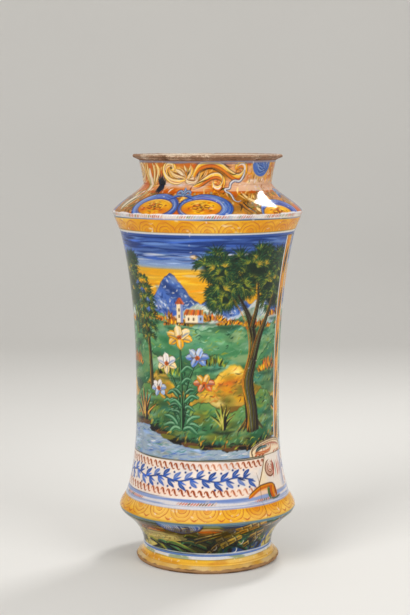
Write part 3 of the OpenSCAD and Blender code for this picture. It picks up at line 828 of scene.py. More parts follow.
def trophy(coat, turn):
    """A trophy of arms, as is common on such jars: a case, a shield, cloths, leaves and bound staves."""
    top, rng = coat.y[-1], coat.rng

    def run(*points):
        return np.array([(coat.at(turn + degrees), share * top) for degrees, share in points])
    for low, paint in ((0.58, OCHRE), (0.68, ORANGE), (0.78, mixed(PINK_WHITE, OCHRE, 0.6)), (0.88, OLIVE)):
        coat.brush(run((-56, low), (-45, low + 0.05), (-28, low - 0.04)), 5.5, coat.shade(paint, 0.12), 0.9)
        coat.brush(run((-4, low + 0.02), (4, low + 0.08), (14, low)), 5.0, coat.shade(paint, 0.12), 0.9)
    for share in np.linspace(0, 1, 9):
        case = run((-68, 0.06 + 0.44 * share), (-50, 0.14 + 0.38 * share), (-32, 0.3 + 0.26 * share),
                   (-13, 0.42 + 0.12 * share))
        coat.brush(case, 3.4, coat.shade(mixed((232, 208, 118), OLIVE, 0.3 - 0.25 * share)), 0.95, (0, 0.2))
    for _ in range(130):
        across, along = rng.random(2) ** (1, 1.6)
        speckle = run((-67 + 46 * along, 0.12 + 0.26 * along + (0.36 - 0.24 * along) * across))[0]
        coat.disc(speckle, (0.42, 0.42), coat.pick(BROWN, OLIVE, DEEP_ORANGE), 0.75)
    coat.brush(run((-68, 0.52), (-50, 0.55), (-32, 0.58), (-11, 0.55)), 0.9, BROWN, 0.9)
    coat.brush(run((-62, 0.0), (-50, 0.08), (-32, 0.27), (-11, 0.4)), 1.8, BLACK, 0.9)
    coat.brush(run((-70, 0.7), (-66, 0.4), (-60, 0.02)), 1.6, BLACK, 0.9, (0.1, 0.2))
    shield = run((-16, 1.0))[0]
    for grow, paint in ((1.0, BLACK), (0.95, mixed(BLUE, DEEP_BLUE, 0.5)),
                        (0.88, mixed(BLUE, SKY_BLUE, 0.6))):
        coat.disc(shield, (17.5 * grow, 0.4 * top * grow), paint, 0.95)
    for shift in np.linspace(-13.5, 13.5, 19):
        deep = 0.33 * top * np.sqrt(1 - (shift / 16) ** 2)
        flute = shield + np.array([(shift, -1), (shift + 1.2, -deep * 0.5), (shift, -deep)])
        coat.brush(flute, 0.8, coat.shade(coat.pick(WHITE, DEEP_BLUE, PALE_BLUE), 0.15), 0.8)
    for start, end, rise, paint in FRONDS:
        frond = run((start, rise + 0.06), ((2 * start + end) / 3, rise + 0.09), (end, rise - 0.14))
        coat.brush(frond - (0, 1.4), 6.0, BLACK, 0.85, (0.5, 0.6))
        coat.brush(frond, 4.6, coat.shade(paint, 0.12), 0.95, (0.5, 0.6))
        coat.brush(frond + (0, 1.4), 1.0, mixed(LEMON, CREAM, 0.4), 0.8, (0.3, 0.5))
        coat.brush(frond - (0, 0.8), 0.6, BLACK, 0.7, (0.3, 0.5))
    for shift, paint in ((0.0, mixed(OLIVE, YELLOW, 0.35)), (0.11, mixed(CREAM, OLIVE, 0.3))):
        rod = run((-8, 0.32 + shift), (2, 0.44 + shift), (13, 0.58 + shift))
        coat.lined(rod, 1.7, paint, BLACK, 0.9, taper=(0.05, 0.05))
    for base, tip, width in STAVES:
        bar = run(base, tip)
        coat.lined(bar, width, coat.shade(coat.pick(*GOLDS), 0.12), BLACK, 1.0, taper=(0.04, 0.04), steps=2)
        for share, paint in ((-0.28, mixed(CREAM, YELLOW, 0.4)), (0.05, BLACK), (0.3, BROWN)):
            coat.dab(bar - (0, share * width), 0.8, paint, 0.8, (0.1, 0.15))
        along = bar[1] - bar[0]
        across = np.array([-along[1], along[0]]) / np.hypot(*along) * width * 0.62
        for share in (0.3, 0.7):
            strap = bar[0] + along * share + np.array([-across, across])
            coat.dab(strap, 1.1, mixed(CREAM, OLIVE, 0.3), 0.85, (0.2, 0.2))
            coat.dab(strap + (1, 0), 0.8, BLACK, 0.8, (0.2, 0.2))
    for degrees, share in ((20, 0.68), (31, 0.3), (45, 0.32), (47, 0.8), (8, 0.2), (26, 0.12)):
        coat.brush(spiral(run((degrees, share))[0], 3.0, 1.6, 60, -0.5, 8), 1.0, coat.shade(WHITE), 0.8)
        coat.disc(run((degrees - 4, share))[0], (2.2, 2.6), BLACK, 0.8, 1.0)
    for k in range(16):
        low = rng.uniform(0.05, 0.75)
        dash = run((54 + rng.uniform(0, 8), low), (58 + rng.uniform(0, 6), low + 0.25))
        coat.dab(dash, 1.6, (DEEP_BLUE, BLACK, SKY_BLUE, BLUE)[k % 4], 0.8, (0.3, 0.4))


def paint_base(coat):
    """Dark ground of green, olive and blue with black strokes, and trophies of arms between ruled edges."""
    top = coat.y[-1]
    patches = coat.cloud(38, 30, 2)
    coat.wash(1, mixed(DEEP_GREEN, GREEN, 0.15))
    coat.wash(0.9 * ramp(patches, 0.54, 0.62), mixed(BLUE, DEEP_BLUE, 0.5))
    coat.wash(0.85 * ramp(patches, 0.46, 0.38), mixed(OLIVE, BLACK, 0.3))
    paints = (BLACK, DEEP_GREEN, GREEN, DEEP_BLUE, OLIVE, BLACK)
    strew(coat, 300, 2, top - 2, paints, 10, 1.6, 35, 0.75, 25)
    for turn in (-128, 122, -3):
        trophy(coat, turn)
    strew(coat, 110, 3, top - 4, (CREAM, BLACK, PALE_GREEN, BLACK), 6, 0.7, 50, 0.6, 40)
    coat.wash(0.1 + 0.4 * ramp(coat.cloud(15, 9), 0.45, 0.68), (20, 18, 4))
    strew(coat, 150, 4, top - 4, (LEMON, YELLOW_GREEN, MEADOW, BLACK, BLACK), 5, 0.7, 40, 0.8, 30)
    coat.rule(top - 0.3, 1.3, mixed(LILAC, GREEN, 0.35), 0.85, 0.15)
    coat.rule(top - 1.4, 0.8, mixed(PALE_BLUE, GREY_GREEN, 0.5), 0.6)
    coat.fill(1.9, 1.4, mixed(BLUE, PALE_BLUE, 0.4))
    coat.rule(2.2, 0.9, mixed(WHITE, PALE_BLUE, 0.4), 0.8)
    coat.flecks(24, 0.9, PINK_WHITE)


# Picture field: a plain wooded valley right round the jar, with heights in mm above the field's foot

LEAVES = (mixed(DEEP_GREEN, BLACK, 0.4), mixed(DEEP_GREEN, GREEN, 0.35), mixed(OLIVE, YELLOW_GREEN, 0.5))
WARM_LEAVES = (mixed(DEEP_GREEN, BLACK, 0.2), mixed(GREEN, OLIVE, 0.5), mixed(YELLOW_GREEN, OCHRE, 0.5))
WARM_BUSH = (BROWN, ORANGE, OCHRE, YELLOW, BLACK)
GREEN_BUSH = (DEEP_GREEN, GREEN, OLIVE, YELLOW_GREEN, BLACK)
FLOWER_FOOT = 24


def humps(coat, base, peaks, rough=0.7):
    """A ridge line from rounded peaks: (degrees, height, half width in mm), the highest one showing."""
    low = coat.up(base)

    def ridge(x):
        lines = [np.full_like(x, low)]
        for degrees, height, spread in peaks:
            off = (x - coat.at(degrees) + coat.girth / 2) % coat.girth - coat.girth / 2
            lines.append(low + (coat.up(height) - low) / (1 + (off / spread) ** 2) ** 1.6)
        turn = x / coat.mean_radius
        jags = np.sin(17 * turn) + 0.7 * np.sin(41 * turn + 1) + 0.4 * np.sin(89 * turn)
        return np.max(lines, 0) + rough * jags
    return ridge


def land(coat, base, peaks, top_paint, foot_paint, depth, line, washes, strokes, slant=0, soft=0.6):
    """Ground below a ridge: its paint turns over a depth, under wet washes and fine strokes along it."""
    ridge = humps(coat, base, peaks)
    crest = ridge(coat.X)
    below = ramp(coat.Y, crest + soft, crest - soft)
    share = np.clip((crest - coat.Y) / depth + 0.9 * (coat.cloud(22, 6) - 0.5), 0, 1)[..., None]
    coat.wash(below, mixed(top_paint, foot_paint, share))
    coat.mottle(0.65 * below, (30, 13, 2), 0.5, 0.66, mixed(foot_paint, BLACK, 0.4))
    coat.mottle(0.6 * below, (24, 8, 2), 0.54, 0.68, mixed(top_paint, CREAM, 0.4))
    drawn = np.clip((0.4 - abs(coat.Y - crest)) / EDGE + 0.5, 0, 1)
    coat.wash(drawn * (0.1 + 0.9 * coat.cloud(16, 12, 1)), line)
    strew(coat, 170, -depth - 6, -soft - 4, washes, 15, 5, slant, 0.6, 9, 4.0, ridge)
    strew(coat, 260, -depth - 6, -soft - 2, washes, 6, 1.6, slant, 0.5, 18, 1.2, ridge)
    strew(coat, 760, -depth - 6, -soft - 1, strokes, 4.5, 0.8, slant + 20, 0.68, 26, EDGE, ridge)
    return ridge


def leaf_fan(coat, foot, size, heading, paints):
    """A fan of fine leaf strokes from one point, dark ones behind light ones; heading 0 is up."""
    for paint, count, reach, width in zip(paints, (13, 10, 6), (1.0, 0.88, 0.62), (0.95, 0.8, 0.75)):
        for turn in heading + np.linspace(-1.2, 1.2, count) + coat.rng.normal(0, 0.07, count):
            way = np.array([np.sin(turn), np.cos(turn)]) * size * reach * coat.rng.uniform(0.75, 1.15)
            path = [foot, foot + way * 0.55 + (0, 0.08 * size), foot + way - (0, 0.06 * size)]
            coat.brush(path, width, coat.shade(paint, 0.2), 0.9, (0.15, 0.7), 3)


def crown(coat, centre, wide, tall, count, size=8.5):
    """A mass of leaves: a dark ground under many fans, that point away from its middle and upwards."""
    coat.disc(centre, (wide * 0.8, tall * 0.8), LEAVES[0], 0.7, 3)
    for far in np.sqrt(np.linspace(1, 0, count)):
        turn = coat.rng.uniform(0, FULL_TURN)
        spot = centre + np.array([wide * np.cos(turn), tall * np.sin(turn)]) * far * 0.85
        heading = np.arctan2(np.cos(turn) * far, np.sin(turn) * far + 0.45) + coat.rng.normal(0, 0.35)
        leaf_fan(coat, spot, size * coat.rng.uniform(0.65, 1.25), heading, LEAVES)


def trunk(coat, points, width, lit=1):
    """A tree trunk: black, with bark strokes along it and a thin ochre edge on its lit side."""
    p = np.asarray(points, float)
    coat.brush(p, width, mixed(BLACK, BROWN, 0.2), 1, (0.01, 0.9))
    for shift, share, paint, cover in ((-0.42, 0.12, OCHRE, 0.85), (-0.33, 0.09, DEEP_YELLOW, 0.6),
                                       (-0.22, 0.12, OLIVE, 0.7), (-0.1, 0.08, GREY_GREEN, 0.7),
                                       (0.02, 0.1, OLIVE, 0.7), (0.14, 0.06, GREY_GREEN, 0.5),
                                       (0.27, 0.08, OLIVE, 0.45)):
        bark = p + (lit * width * shift, 0) + coat.rng.normal(0, 0.06 * width, p.shape)
        coat.brush(bark, width * share, coat.shade(paint), cover, (0.05, 0.8))


def great_tree(coat, degrees, foot, size, mirror=1):
    """A leaning tree: roots, and a stout trunk that forks under several masses of leaves."""
    root, way = coat.spot(degrees, foot), np.array([mirror * size, size])
    for x, y, wide, tall in ((-27, 104, 15, 12), (23, 102, 16, 14), (0, 128, 21, 13), (-33, 127, 13, 10),
                             (29, 127, 13, 12), (-10, 112, 14, 10)):
        crown(coat, root + np.array([x, y]) * way, wide * size, tall * size, 24)
    limbs = [(((0, 10), (lean * 0.4, 2), (lean, -6)), 5) for lean in (-13, -8, 8, 14)]
    limbs.append((((2, -7), (0, 12), (-3, 34), (2, 58), (-2, 80), (-15, 104)), 13))
    limbs.append((((1, 50), (8, 70), (16, 86), (24, 106)), 6.5))
    limbs.append((((-1, 76), (4, 96), (2, 116)), 4.5))
    for points, width in limbs:
        trunk(coat, root + np.array(points) * way, width * size, mirror)
    for x, y, wide, tall in ((-22, 110, 13, 9), (14, 112, 13, 9), (1, 124, 17, 10), (-30, 122, 10, 8),
                             (26, 120, 10, 9)):
        crown(coat, root + np.array([x, y]) * way, wide * size * 0.8, tall * size * 0.8, 8, 8.0)
        for _ in range(3):
            spot = root + (np.array([x, y]) + coat.rng.normal(0, 1, 2) * (wide * 0.45, tall * 0.4)) * way
            leaf_fan(coat, spot, coat.rng.uniform(6, 9) * size, coat.rng.normal(0, 0.8), WARM_LEAVES)


def slim_tree(coat, degrees, foot, height, lean):
    """A slim tree: a thin dark stem with fans of leaves up its top half."""
    root = coat.spot(degrees, foot)
    stem = np.array([(0, -4), (lean * 0.3, height * 0.3), (lean * 0.7, height * 0.6), (lean, height * 0.9)])
    trunk(coat, root + stem, 4.2)
    for share in np.linspace(0.45, 1.0, 7):
        wide = 3 + 9 * np.sin(np.pi * (share - 0.3) / 0.8)
        for side in (-1, 1, 0):
            spot = root + np.array([lean * share + side * wide * 0.45, height * share])
            leaf_fan(coat, spot, wide * 0.75, side * 0.9, LEAVES if side >= 0 else WARM_LEAVES)


def cypress(coat, degrees, foot, height):
    """A flame-shaped dark tree: upward strokes inside its outline, lighter on the left."""
    rng = coat.rng
    x, y = coat.spot(degrees, foot)
    coat.dab([(x, y - 5), (x, y + 6)], 2.0, BLACK, 1, (0.1, 0.1))
    for paint, count, shift in ((LEAVES[0], 110, 0), (LEAVES[1], 70, -0.6), (GREEN, 36, -1.4),
                                (LEAVES[2], 22, -2)):
        for _ in range(count):
            share = rng.random()
            wide = 7.0 * np.sin(np.pi * share ** 0.8) * (1 - 0.35 * share) + 0.4
            spot = np.array([x + shift + rng.uniform(-1, 1) * wide, y + height * share * 0.9])
            path = [spot, spot + (rng.uniform(-0.6, 0.6), 3.5), spot + (0.12 * (x - spot[0]), 7)]
            coat.brush(path, 1.0, coat.shade(paint, 0.18), 0.85, (0.3, 0.6), 3)


def block(coat, left, right, low, high, paint):
    """A filled upright rectangle."""
    def cover_of(x, y):
        inside_x = ((right - left) / 2 - abs(x - (left + right) / 2)) / EDGE + 0.5
        inside_y = ((high - low) / 2 - abs(y - (low + high) / 2)) / EDGE + 0.5
        return np.clip(inside_x, 0, 1) * np.clip(inside_y, 0, 1)
    coat.lay((left - 1, low - 1), (right + 1, high + 1), cover_of, paint)


def cottage(coat, degrees, foot, tower):
    """A small farmhouse: pale walls, a tiled roof in orange, dark openings and a tower beside it."""
    x, y = coat.spot(degrees, foot)
    for left, right, high, paint in ((-8, 6, 7, mixed(WHITE, CREAM, 0.4)),
                                     (2, 6, 7, mixed(PALE_BLUE, LILAC, 0.3)),
                                     (tower, tower + 5, 15, mixed(PINK_WHITE, CREAM, 0.5)),
                                     (tower + 3, tower + 5, 15, LILAC)):
        block(coat, x + left, x + right, y, y + high, paint)
    for k in range(9):
        tile = [(x - 9 + 1.8 * k, y + 6.2), (x - 6.5 + 1.5 * k, y + 11)]
        coat.dab(tile, 1.6, coat.shade((ORANGE, RUST, OCHRE)[k % 3], 0.12), 0.9, (0.1, 0.1))
    peak = x + tower + 2.5
    for k in np.linspace(-1, 1, 5):
        coat.dab([(peak + 3.4 * k, y + 14.6), (peak, y + 20)], 1.5, coat.shade(RUST, 0.15), 0.9, (0.1, 0.1))
    for left, low in ((-6, 2), (-2, 2), (3.4, 2.4), (tower + 1.4, 9), (tower + 1.4, 4)):
        block(coat, x + left, x + left + 1.2, y + low, y + low + 2.4, BROWN)
    for left, right in ((-9, 7), (tower - 0.5, tower + 5.5)):
        coat.dab([(x + left, y), (x + right, y)], 0.9, BROWN, 0.8, (0.1, 0.1))


def thicket(coat, degrees, foot, wide, tall, paints=WARM_BUSH):
    """A low thicket: flame strokes that spread from several roots, between dark ones."""
    rng = coat.rng
    x, y = coat.spot(degrees, foot)
    for paint, count, reach in zip(paints, (1.6, 1.9, 1.9, 1.5, 0.7), (1.0, 1.0, 0.85, 0.7, 0.6)):
        for _ in range(int(count * wide)):
            off, lift = rng.uniform(-1, 1), rng.uniform(0, 0.35)
            high = tall * (1 - 0.6 * off * off) * rng.uniform(0.4, 0.85) * reach
            spot = np.array([x + wide * off, y + lift * tall * (1 - off * off)])
            tip = spot + (2.2 * off + rng.normal(0, 0.8), high)
            flame = [spot, (spot + tip) / 2 + (rng.normal(0, 0.5), 0.4), tip]
            coat.brush(flame, rng.uniform(0.7, 1.3), coat.shade(paint, 0.16), 0.85, (0.25, 0.5), 3)
    coat.brush([(x - wide, y - 1), (x, y - 2), (x + wide, y - 0.6)], 2.2, DEEP_GREEN, 0.6, edge=2.5)


def sword_plant(coat, degrees, foot, size, paint):
    """A clump of sword leaves that spread from one root, each with a black side."""
    root = coat.spot(degrees, foot)
    for lean, tall in ((-15, 18), (15, 19), (-9, 25), (9, 26), (-3, 31), (4, 29)):
        blade = root + np.array([(0, 0), (lean * 0.3, tall * 0.5), (lean, tall)]) * size
        coat.brush(blade, 4.2 * size, BLACK, 0.95, (0.05, 0.7))
        body = blade - ((0.5, 0), (0.9, 0), (0.3, 0.6))
        coat.brush(body, 2.2 * size, coat.shade(paint, 0.12), 0.95, (0.1, 0.7))
        coat.brush(blade - ((0, 0), (1.3, 0), (0.5, 1.5)), 0.8 * size, CREAM, 0.8, (0.2, 0.7))
    shadow = root + ((-9, -1), (0, -2.4), (10, -1))
    coat.brush(shadow, 3.0, mixed(BLACK, DEEP_GREEN, 0.5), 0.7, edge=2.0)


PETALS = ((PALE_BLUE, WHITE), (ORANGE, YELLOW), (CREAM, WHITE), (SKY_BLUE, PALE_BLUE), (YELLOW, CREAM))


def lily(coat, degrees, foot, size):
    """A tall flowering plant: bowed stems with long leaves, that end in big open flowers."""
    rng = coat.rng
    root = coat.spot(degrees, foot)
    for reach, lean in ((17, 78), (19, -80), (21, 52), (22, -55), (20, 22), (19, -26), (15, 100), (14, -104)):
        way = np.array([np.sin(np.radians(lean)), np.cos(np.radians(lean))]) * reach * size
        path = [root, root + way * 0.5 + (0, 3.5 * size), root + way + (0, -1)]
        leaf(coat, path, 3.8 * size, mixed(GREEN, MEADOW, rng.random()), PALE_GREEN, LEAVES[0], DEEP_GREEN)
    heads = ((-24, 34, 0.9), (20, 40, 1.0), (-15, 56, 1.1), (14, 62, 1.05), (-2, 79, 1.25))
    for (lean, tall, grow), petals in zip(heads, PETALS):
        head, bend = root + np.array([lean, tall]) * size, root + np.array([lean * 0.25, tall * 0.55]) * size
        coat.brush([root, bend, head], 2.4 * size, LEAVES[0], 0.95, (0.05, 0.3))
        coat.brush([root - (0.4, 0), bend - (0.4, 0), head], 0.9 * size, MEADOW, 0.9, (0.05, 0.3))
        for share in (0.25, 0.38, 0.5, 0.62):
            stem = root + (bend - root) * min(1, share / 0.55) + (head - bend) * max(0, (share - 0.55) / 0.45)
            side = 1 if rng.random() < 0.5 else -1
            long = (15 - 9 * share) * size * rng.uniform(0.7, 1.3)
            path = stem + np.array([(0, 0), (side * 0.5, 0.45), (side, rng.uniform(0.0, 0.5))]) * long
            leaf(coat, path, 2.8 * size, coat.shade(GREEN, 0.15), PALE_GREEN, LEAVES[0], DEEP_GREEN)
        spin = rng.uniform(-25, 25)
        for turn in np.radians(spin + np.array((205, 335, 265, 155, 25, 90))):
            way = np.array([np.cos(turn), np.sin(turn) * 0.85]) * 9.5 * size * grow
            paint = petals[int(np.sin(turn) > 0.3)]
            leaf(coat, [head, head + way * 0.55 + (0, 0.9), head + way], 5.2 * size * grow, paint,
                 mixed(paint, WHITE, 0.7), BROWN, mixed(paint, BLUE, 0.55))
        coat.disc(head, (2.2 * size, 2.0 * size), ORANGE, 0.9)
        for spot in rng.normal(0, 2.4, (5, 2)) * size:
            coat.dab([head, head + spot], 0.6, BROWN, 0.85, (0.1, 0.2))


def paint_sky(coat):
    """A sky brushed in level strokes, deep blue above and paling to a yellow dawn."""
    up, top, dawn = coat.up, coat.tall, coat.tall - 26
    high = np.clip((coat.Y - up(dawn)) / (up(top) - up(dawn)), 0, 1)[..., None]
    coat.wash(1, mixed(PALE_BLUE, mixed(BLUE, DEEP_BLUE, 0.5), high ** 0.7))
    strew(coat, 420, up(dawn + 6), up(top + 1), (BLUE, DEEP_BLUE, DEEP_BLUE, SKY_BLUE), 30, 1.8, 0, 0.6, 2.5)
    strew(coat, 160, up(dawn + 1), up(dawn + 14), (PALE_BLUE, SKY_BLUE, LILAC, WHITE), 24, 1.4, 0, 0.55, 2.5)
    coat.fill(up(dawn + 5), up(dawn + 1), mixed(PALE_BLUE, GREY_GREEN, 0.5), 0.7 + 0.5 * coat.cloud(34, 4))
    coat.fill(up(dawn + 2.5), up(dawn), YELLOW, 0.75 + 0.4 * coat.cloud(30, 3))
    strew(coat, 200, up(dawn - 20), up(dawn + 1), (LEMON, DEEP_YELLOW, CREAM, YELLOW), 24, 1.7, 0, 0.55, 3)


def far_land(coat):
    """What lies far off: blue hills, mist, a pale meadow with bushes, two farmhouses and dark slim trees."""
    peaks = ((-27, 148, 16), (-60, 140, 14), (12, 135, 18), (66, 144, 18), (100, 136, 20), (142, 146, 20),
             (-162, 138, 18), (-112, 144, 22))
    far = land(coat, 120, peaks, mixed(BLUE, SKY_BLUE, 0.6), BLUE, 26, DEEP_BLUE,
               (SKY_BLUE, PALE_BLUE, BLUE, DEEP_BLUE, LILAC), (DEEP_BLUE, DEEP_BLUE, PALE_BLUE, WHITE), -50)
    glints = (WHITE, DEEP_BLUE, PALE_BLUE, DEEP_BLUE, LILAC)
    strew(coat, 900, -26, -2, glints, 3.2, 0.9, -50, 0.75, 40, EDGE, far)
    peaks = ((-6, 125, 16), (40, 127, 15), (-72, 126, 15), (86, 122, 20), (160, 125, 20), (-130, 122, 20))
    land(coat, 112, peaks, mixed(PALE_BLUE, WHITE, 0.4), PALE_GREEN, 12, SKY_BLUE,
         (WHITE, PALE_BLUE, PALE_GREEN), (SKY_BLUE, WHITE, PALE_GREEN), 8)
    peaks = ((-44, 117, 26), (28, 113, 24), (75, 116, 20), (130, 113, 26), (-100, 114, 26), (-165, 113, 22))
    land(coat, 102, peaks, mixed(PALE_GREEN, MEADOW, 0.4), mixed(MEADOW, GREEN, 0.5), 26, GREEN,
         (PALE_GREEN, MEADOW, MEADOW, GREEN, TEAL), (GREEN, DEEP_GREEN, YELLOW_GREEN, PALE_GREEN))
    chance = coat.rng.uniform
    for degrees in np.arange(-176, 180, 13):
        thicket(coat, degrees + chance(-3, 3), chance(103, 112), chance(6, 12), chance(6, 11))
    cottage(coat, -9, 109, -15)
    cottage(coat, 150, 108, 7)
    for degrees, foot, height in ((-66, 94, 46), (-55, 88, 40), (118, 96, 40), (-130, 94, 44)):
        cypress(coat, degrees, foot, height)


def near_land(coat):
    """What lies near: a green slope, a yellow knoll with thickets, and a lawn with trees and flowers."""
    peaks = ((-66, 98, 32), (62, 94, 26), (6, 84, 18), (125, 94, 30), (-150, 92, 30), (-105, 88, 20))
    land(coat, 66, peaks, MEADOW, mixed(GREEN, DEEP_GREEN, 0.2), 26, DEEP_GREEN,
         (GREEN, MEADOW, PALE_GREEN, DEEP_GREEN, TEAL), (DEEP_GREEN, GREEN, YELLOW_GREEN, PALE_GREEN), 10)
    peaks = ((20, 76, 26), (-40, 70, 22), (88, 70, 18), (165, 74, 24), (-95, 70, 22))
    land(coat, 46, peaks, LEMON, mixed(OCHRE, OLIVE, 0.4), 22, OLIVE,
         (YELLOW, ORANGE, CREAM, OLIVE, OLIVE, DEEP_YELLOW),
         (ORANGE, DEEP_ORANGE, YELLOW, OLIVE, BROWN, BLACK), 5, 1.5)
    for degrees, foot, wide, paints in ((-30, 66, 12, GREEN_BUSH), (56, 68, 14, WARM_BUSH),
                                        (-74, 72, 13, WARM_BUSH), (104, 68, 14, WARM_BUSH),
                                        (-118, 68, 12, GREEN_BUSH), (178, 70, 12, GREEN_BUSH),
                                        (4, 74, 10, GREEN_BUSH)):
        thicket(coat, degrees, foot, wide, 13, paints)
    peaks = ((-54, 58, 28), (48, 54, 24), (-4, 47, 18), (115, 56, 26), (-130, 56, 28), (170, 50, 18))
    land(coat, 34, peaks, mixed(MEADOW, YELLOW_GREEN, 0.4), mixed(GREEN, DEEP_GREEN, 0.3), 26, DEEP_GREEN,
         (GREEN, PALE_GREEN, YELLOW_GREEN, OLIVE, TEAL),
         (DEEP_GREEN, GREEN, YELLOW_GREEN, BLACK, PALE_GREEN), 12)
    slim_tree(coat, -48, 58, 84, -6)
    slim_tree(coat, 92, 58, 80, 5)
    great_tree(coat, 36, 28, 1.0)
    great_tree(coat, -100, 30, 0.95, -1)
    great_tree(coat, 150, 30, 0.95)
    for degrees, size in ((-20, 0.93), (-150, 0.9), (108, 0.85)):
        lily(coat, degrees, FLOWER_FOOT, size)
    for degrees, size, paint in ((-58, 1.0, OCHRE), (12, 0.7, YELLOW_GREEN), (72, 0.9, DEEP_YELLOW),
                                 (180, 1.0, OCHRE)):
        sword_plant(coat, degrees, FLOWER_FOOT, size, paint)


def paint_stream(coat):
    """A stream along the field's foot: a black-edged bank, pale water and level blue strokes."""
    rng = coat.rng
    bank = humps(coat, 6, ((-62, 26, 44), (66, 15, 20), (120, 24, 34), (-150, 22, 36)), 0.9)
    edge = bank(coat.X)
    coat.fill(edge + 4 + 6 * coat.cloud(18, 7), edge + 2, mixed(DEEP_GREEN, BLACK, 0.8), 0.95)
    coat.fill(edge + 0.5, edge - 0.5, mixed(PALE_BLUE, GREY_GREEN, 0.35))
    strew(coat, 260, -26, -1.4, (SKY_BLUE, PALE_BLUE, GREY_GREEN), 12, 2.4, 0, 0.5, 5, 1.5, bank)
    ripples = (BLUE, SKY_BLUE, WHITE, LILAC, PALE_BLUE, TEAL)
    strew(coat, 1200, -26, -0.5, ripples, 7, 0.6, 8, 0.7, 9, EDGE, bank)
    for degrees in np.arange(-178, 180, 6.5):
        x = coat.at(degrees + rng.uniform(-3, 3))
        y = bank(np.array([x]))[0]
        paint = coat.pick(BLACK, BROWN, BLACK, OLIVE)
        coat.brush([(x - 7, y + 1.8), (x, y + 0.8), (x + 8, y + 1.6)], rng.uniform(1.6, 4.2), paint, 0.9)
    strew(coat, 260, 1.5, 9, (YELLOW_GREEN, OLIVE, BLACK, LEMON, OCHRE), 5, 0.9, 50, 0.75, 25, EDGE, bank)


def frame_strip(coat, x):
    """An upright strip that parts two pictures: yellow between white lines, with black lens shapes."""
    top = coat.y[-1]
    for shift, width, paint in ((0, 11, DEEP_YELLOW), (1.2, 6, YELLOW), (-5.4, 1.4, WHITE), (5.4, 1.4, WHITE),
                                (-4.3, 0.8, BROWN), (4.3, 0.8, BROWN)):
        line = np.array([(0, -2), (0.4, top / 2), (0, top + 2)]) + (x + shift, 0)
        coat.brush(line, width, paint, 0.95, (0, 0))
    for y in np.arange(8, top, 34):
        coat.brush([(x - 1.2, y), (x + 0.2, y + 12), (x + 1.4, y + 24)], 4.0, BLACK, 0.95, (0.45, 0.45))
        coat.brush([(x + 1.4, y + 24), (x - 1.2, y + 28), (x + 0.6, y + 33)], 1.0, ORANGE, 0.85)


def rolled_end(coat, x, way):
    """The banner's rolled end, which stands up over the field: a curl with its dark mouth on one side."""
    def run(*points):
        return np.array(points, float) * (1.35 * way, 0.76) + (x - 9 * way, 0)
    back = run((-2, -1), (-3, 5), (0, 10), (7, 13.5), (16, 14.5), (24, 12), (28, 6), (28, -1))
    middle = run((14, -2))
    for share in np.linspace(0.0, 1.0, 9):
        paint = mixed(PINK_WHITE, CREAM, 0.1 + 0.3 * share)
        coat.brush(middle + (back - middle) * share, 4.5, paint, 0.98, (0, 0))
    for shift in np.arange(4, 24, 2.2):
        tall = 13.4 - 0.03 * (shift - 13) ** 2
        red = run((shift - 2, tall), (shift + 1.6, tall - 2.4), (shift + 2.4, tall - 6))
        coat.brush(red, 1.0, coat.shade(RUST, 0.15), 0.8, (0.2, 0.4))
        grey = run((shift - 1, tall), (shift + 2.4, tall - 2.4), (shift + 3.2, tall - 5))
        coat.brush(grey, 0.7, mixed(LILAC, GREY_GREEN, 0.5), 0.6, (0.2, 0.4))
    for lift, width, paint in ((0, 3.2, mixed(GREEN, LILAC, 0.55)), (0.9, 1.1, mixed(BLACK, GREEN, 0.3)),
                               (-1.5, 0.7, BROWN)):
        mouth = run((0, 4 + lift), (2, 8 + lift), (6, 10 + lift), (11, 9.6 + lift))
        coat.brush(mouth, width, paint, 0.9, (0.3, 0.5))
    for lift, paint in ((0, RUST), (1.4, ORANGE), (2.6, RUST)):
        lining = run((-1, 3 + lift), (6, 2.4 + lift), (13, 4 + lift), (15, 7 + lift))
        coat.brush(lining, 0.9, coat.shade(paint), 0.75, (0.1, 0.4))
    coat.brush(back + (0, 1.6), 0.9, mixed(BROWN, BLACK, 0.5), 0.85, (0.05, 0.05))
    coat.brush(back, 0.7, BROWN, 0.75, (0.05, 0.05))
    for shift in (-1, 2, 5, 17, 21, 24):
        coat.brush(run((shift, -1), (shift + 1, 1.6), (shift + 4, 3.2)), 1.3, coat.shade(RUST), 0.8)


def paint_field(coat):
    """Sky, far hills, meadows, trees, flowers and a stream, laid from the back to the front, and the wear."""
    paint_sky(coat)
    far_land(coat)
    near_land(coat)
    paint_stream(coat)
    for degrees in (70, -166):
        frame_strip(coat, coat.at(degrees))
    for degrees, way in SCROLL_ENDS:
        rolled_end(coat, coat.at(degrees), way)
    coat.rule(0.2, 0.8, mixed(BROWN, DEEP_GREEN, 0.5), 0.8)
    coat.rule(coat.y[-1] - 0.2, 0.9, DEEP_BLUE, 0.7)
    pit = coat.spot(-9.5, 161)
    for shift, radii, paint in (((0.2, 0), (2.6, 1.9), BROWN), ((-0.9, 0.3), (1.3, 1.0), PINK_WHITE),
                                ((0.9, -0.5), (1.2, 0.9), CREAM), ((0.5, 0.8), (0.8, 0.7), PINK_WHITE)):
        coat.disc(pit + shift, radii, paint, 0.8, 1.0)
    coat.flecks(50, 0.8, PINK_WHITE)


# Meshes

COAT_DEPTH = 0.4  # mm from a coat's outside to its back
BACK_TO, EDGE_TALL, FRONT_FROM = 0.03, 0.01, 0.08  # heights in a coat's bake square
MAP_MARGIN = 0.01  # free rim of a bake square
RING_COLUMNS, RING_PITCH = 480, 0.6  # points round a clay ring, and mm between them along its outline


def place(radius, angle, height):
    """Points in metres from a radius and height in mm and an angle round the jar."""
    return np.stack(np.broadcast_arrays(radius * np.sin(angle), -radius * np.cos(angle), height), -1) * MM


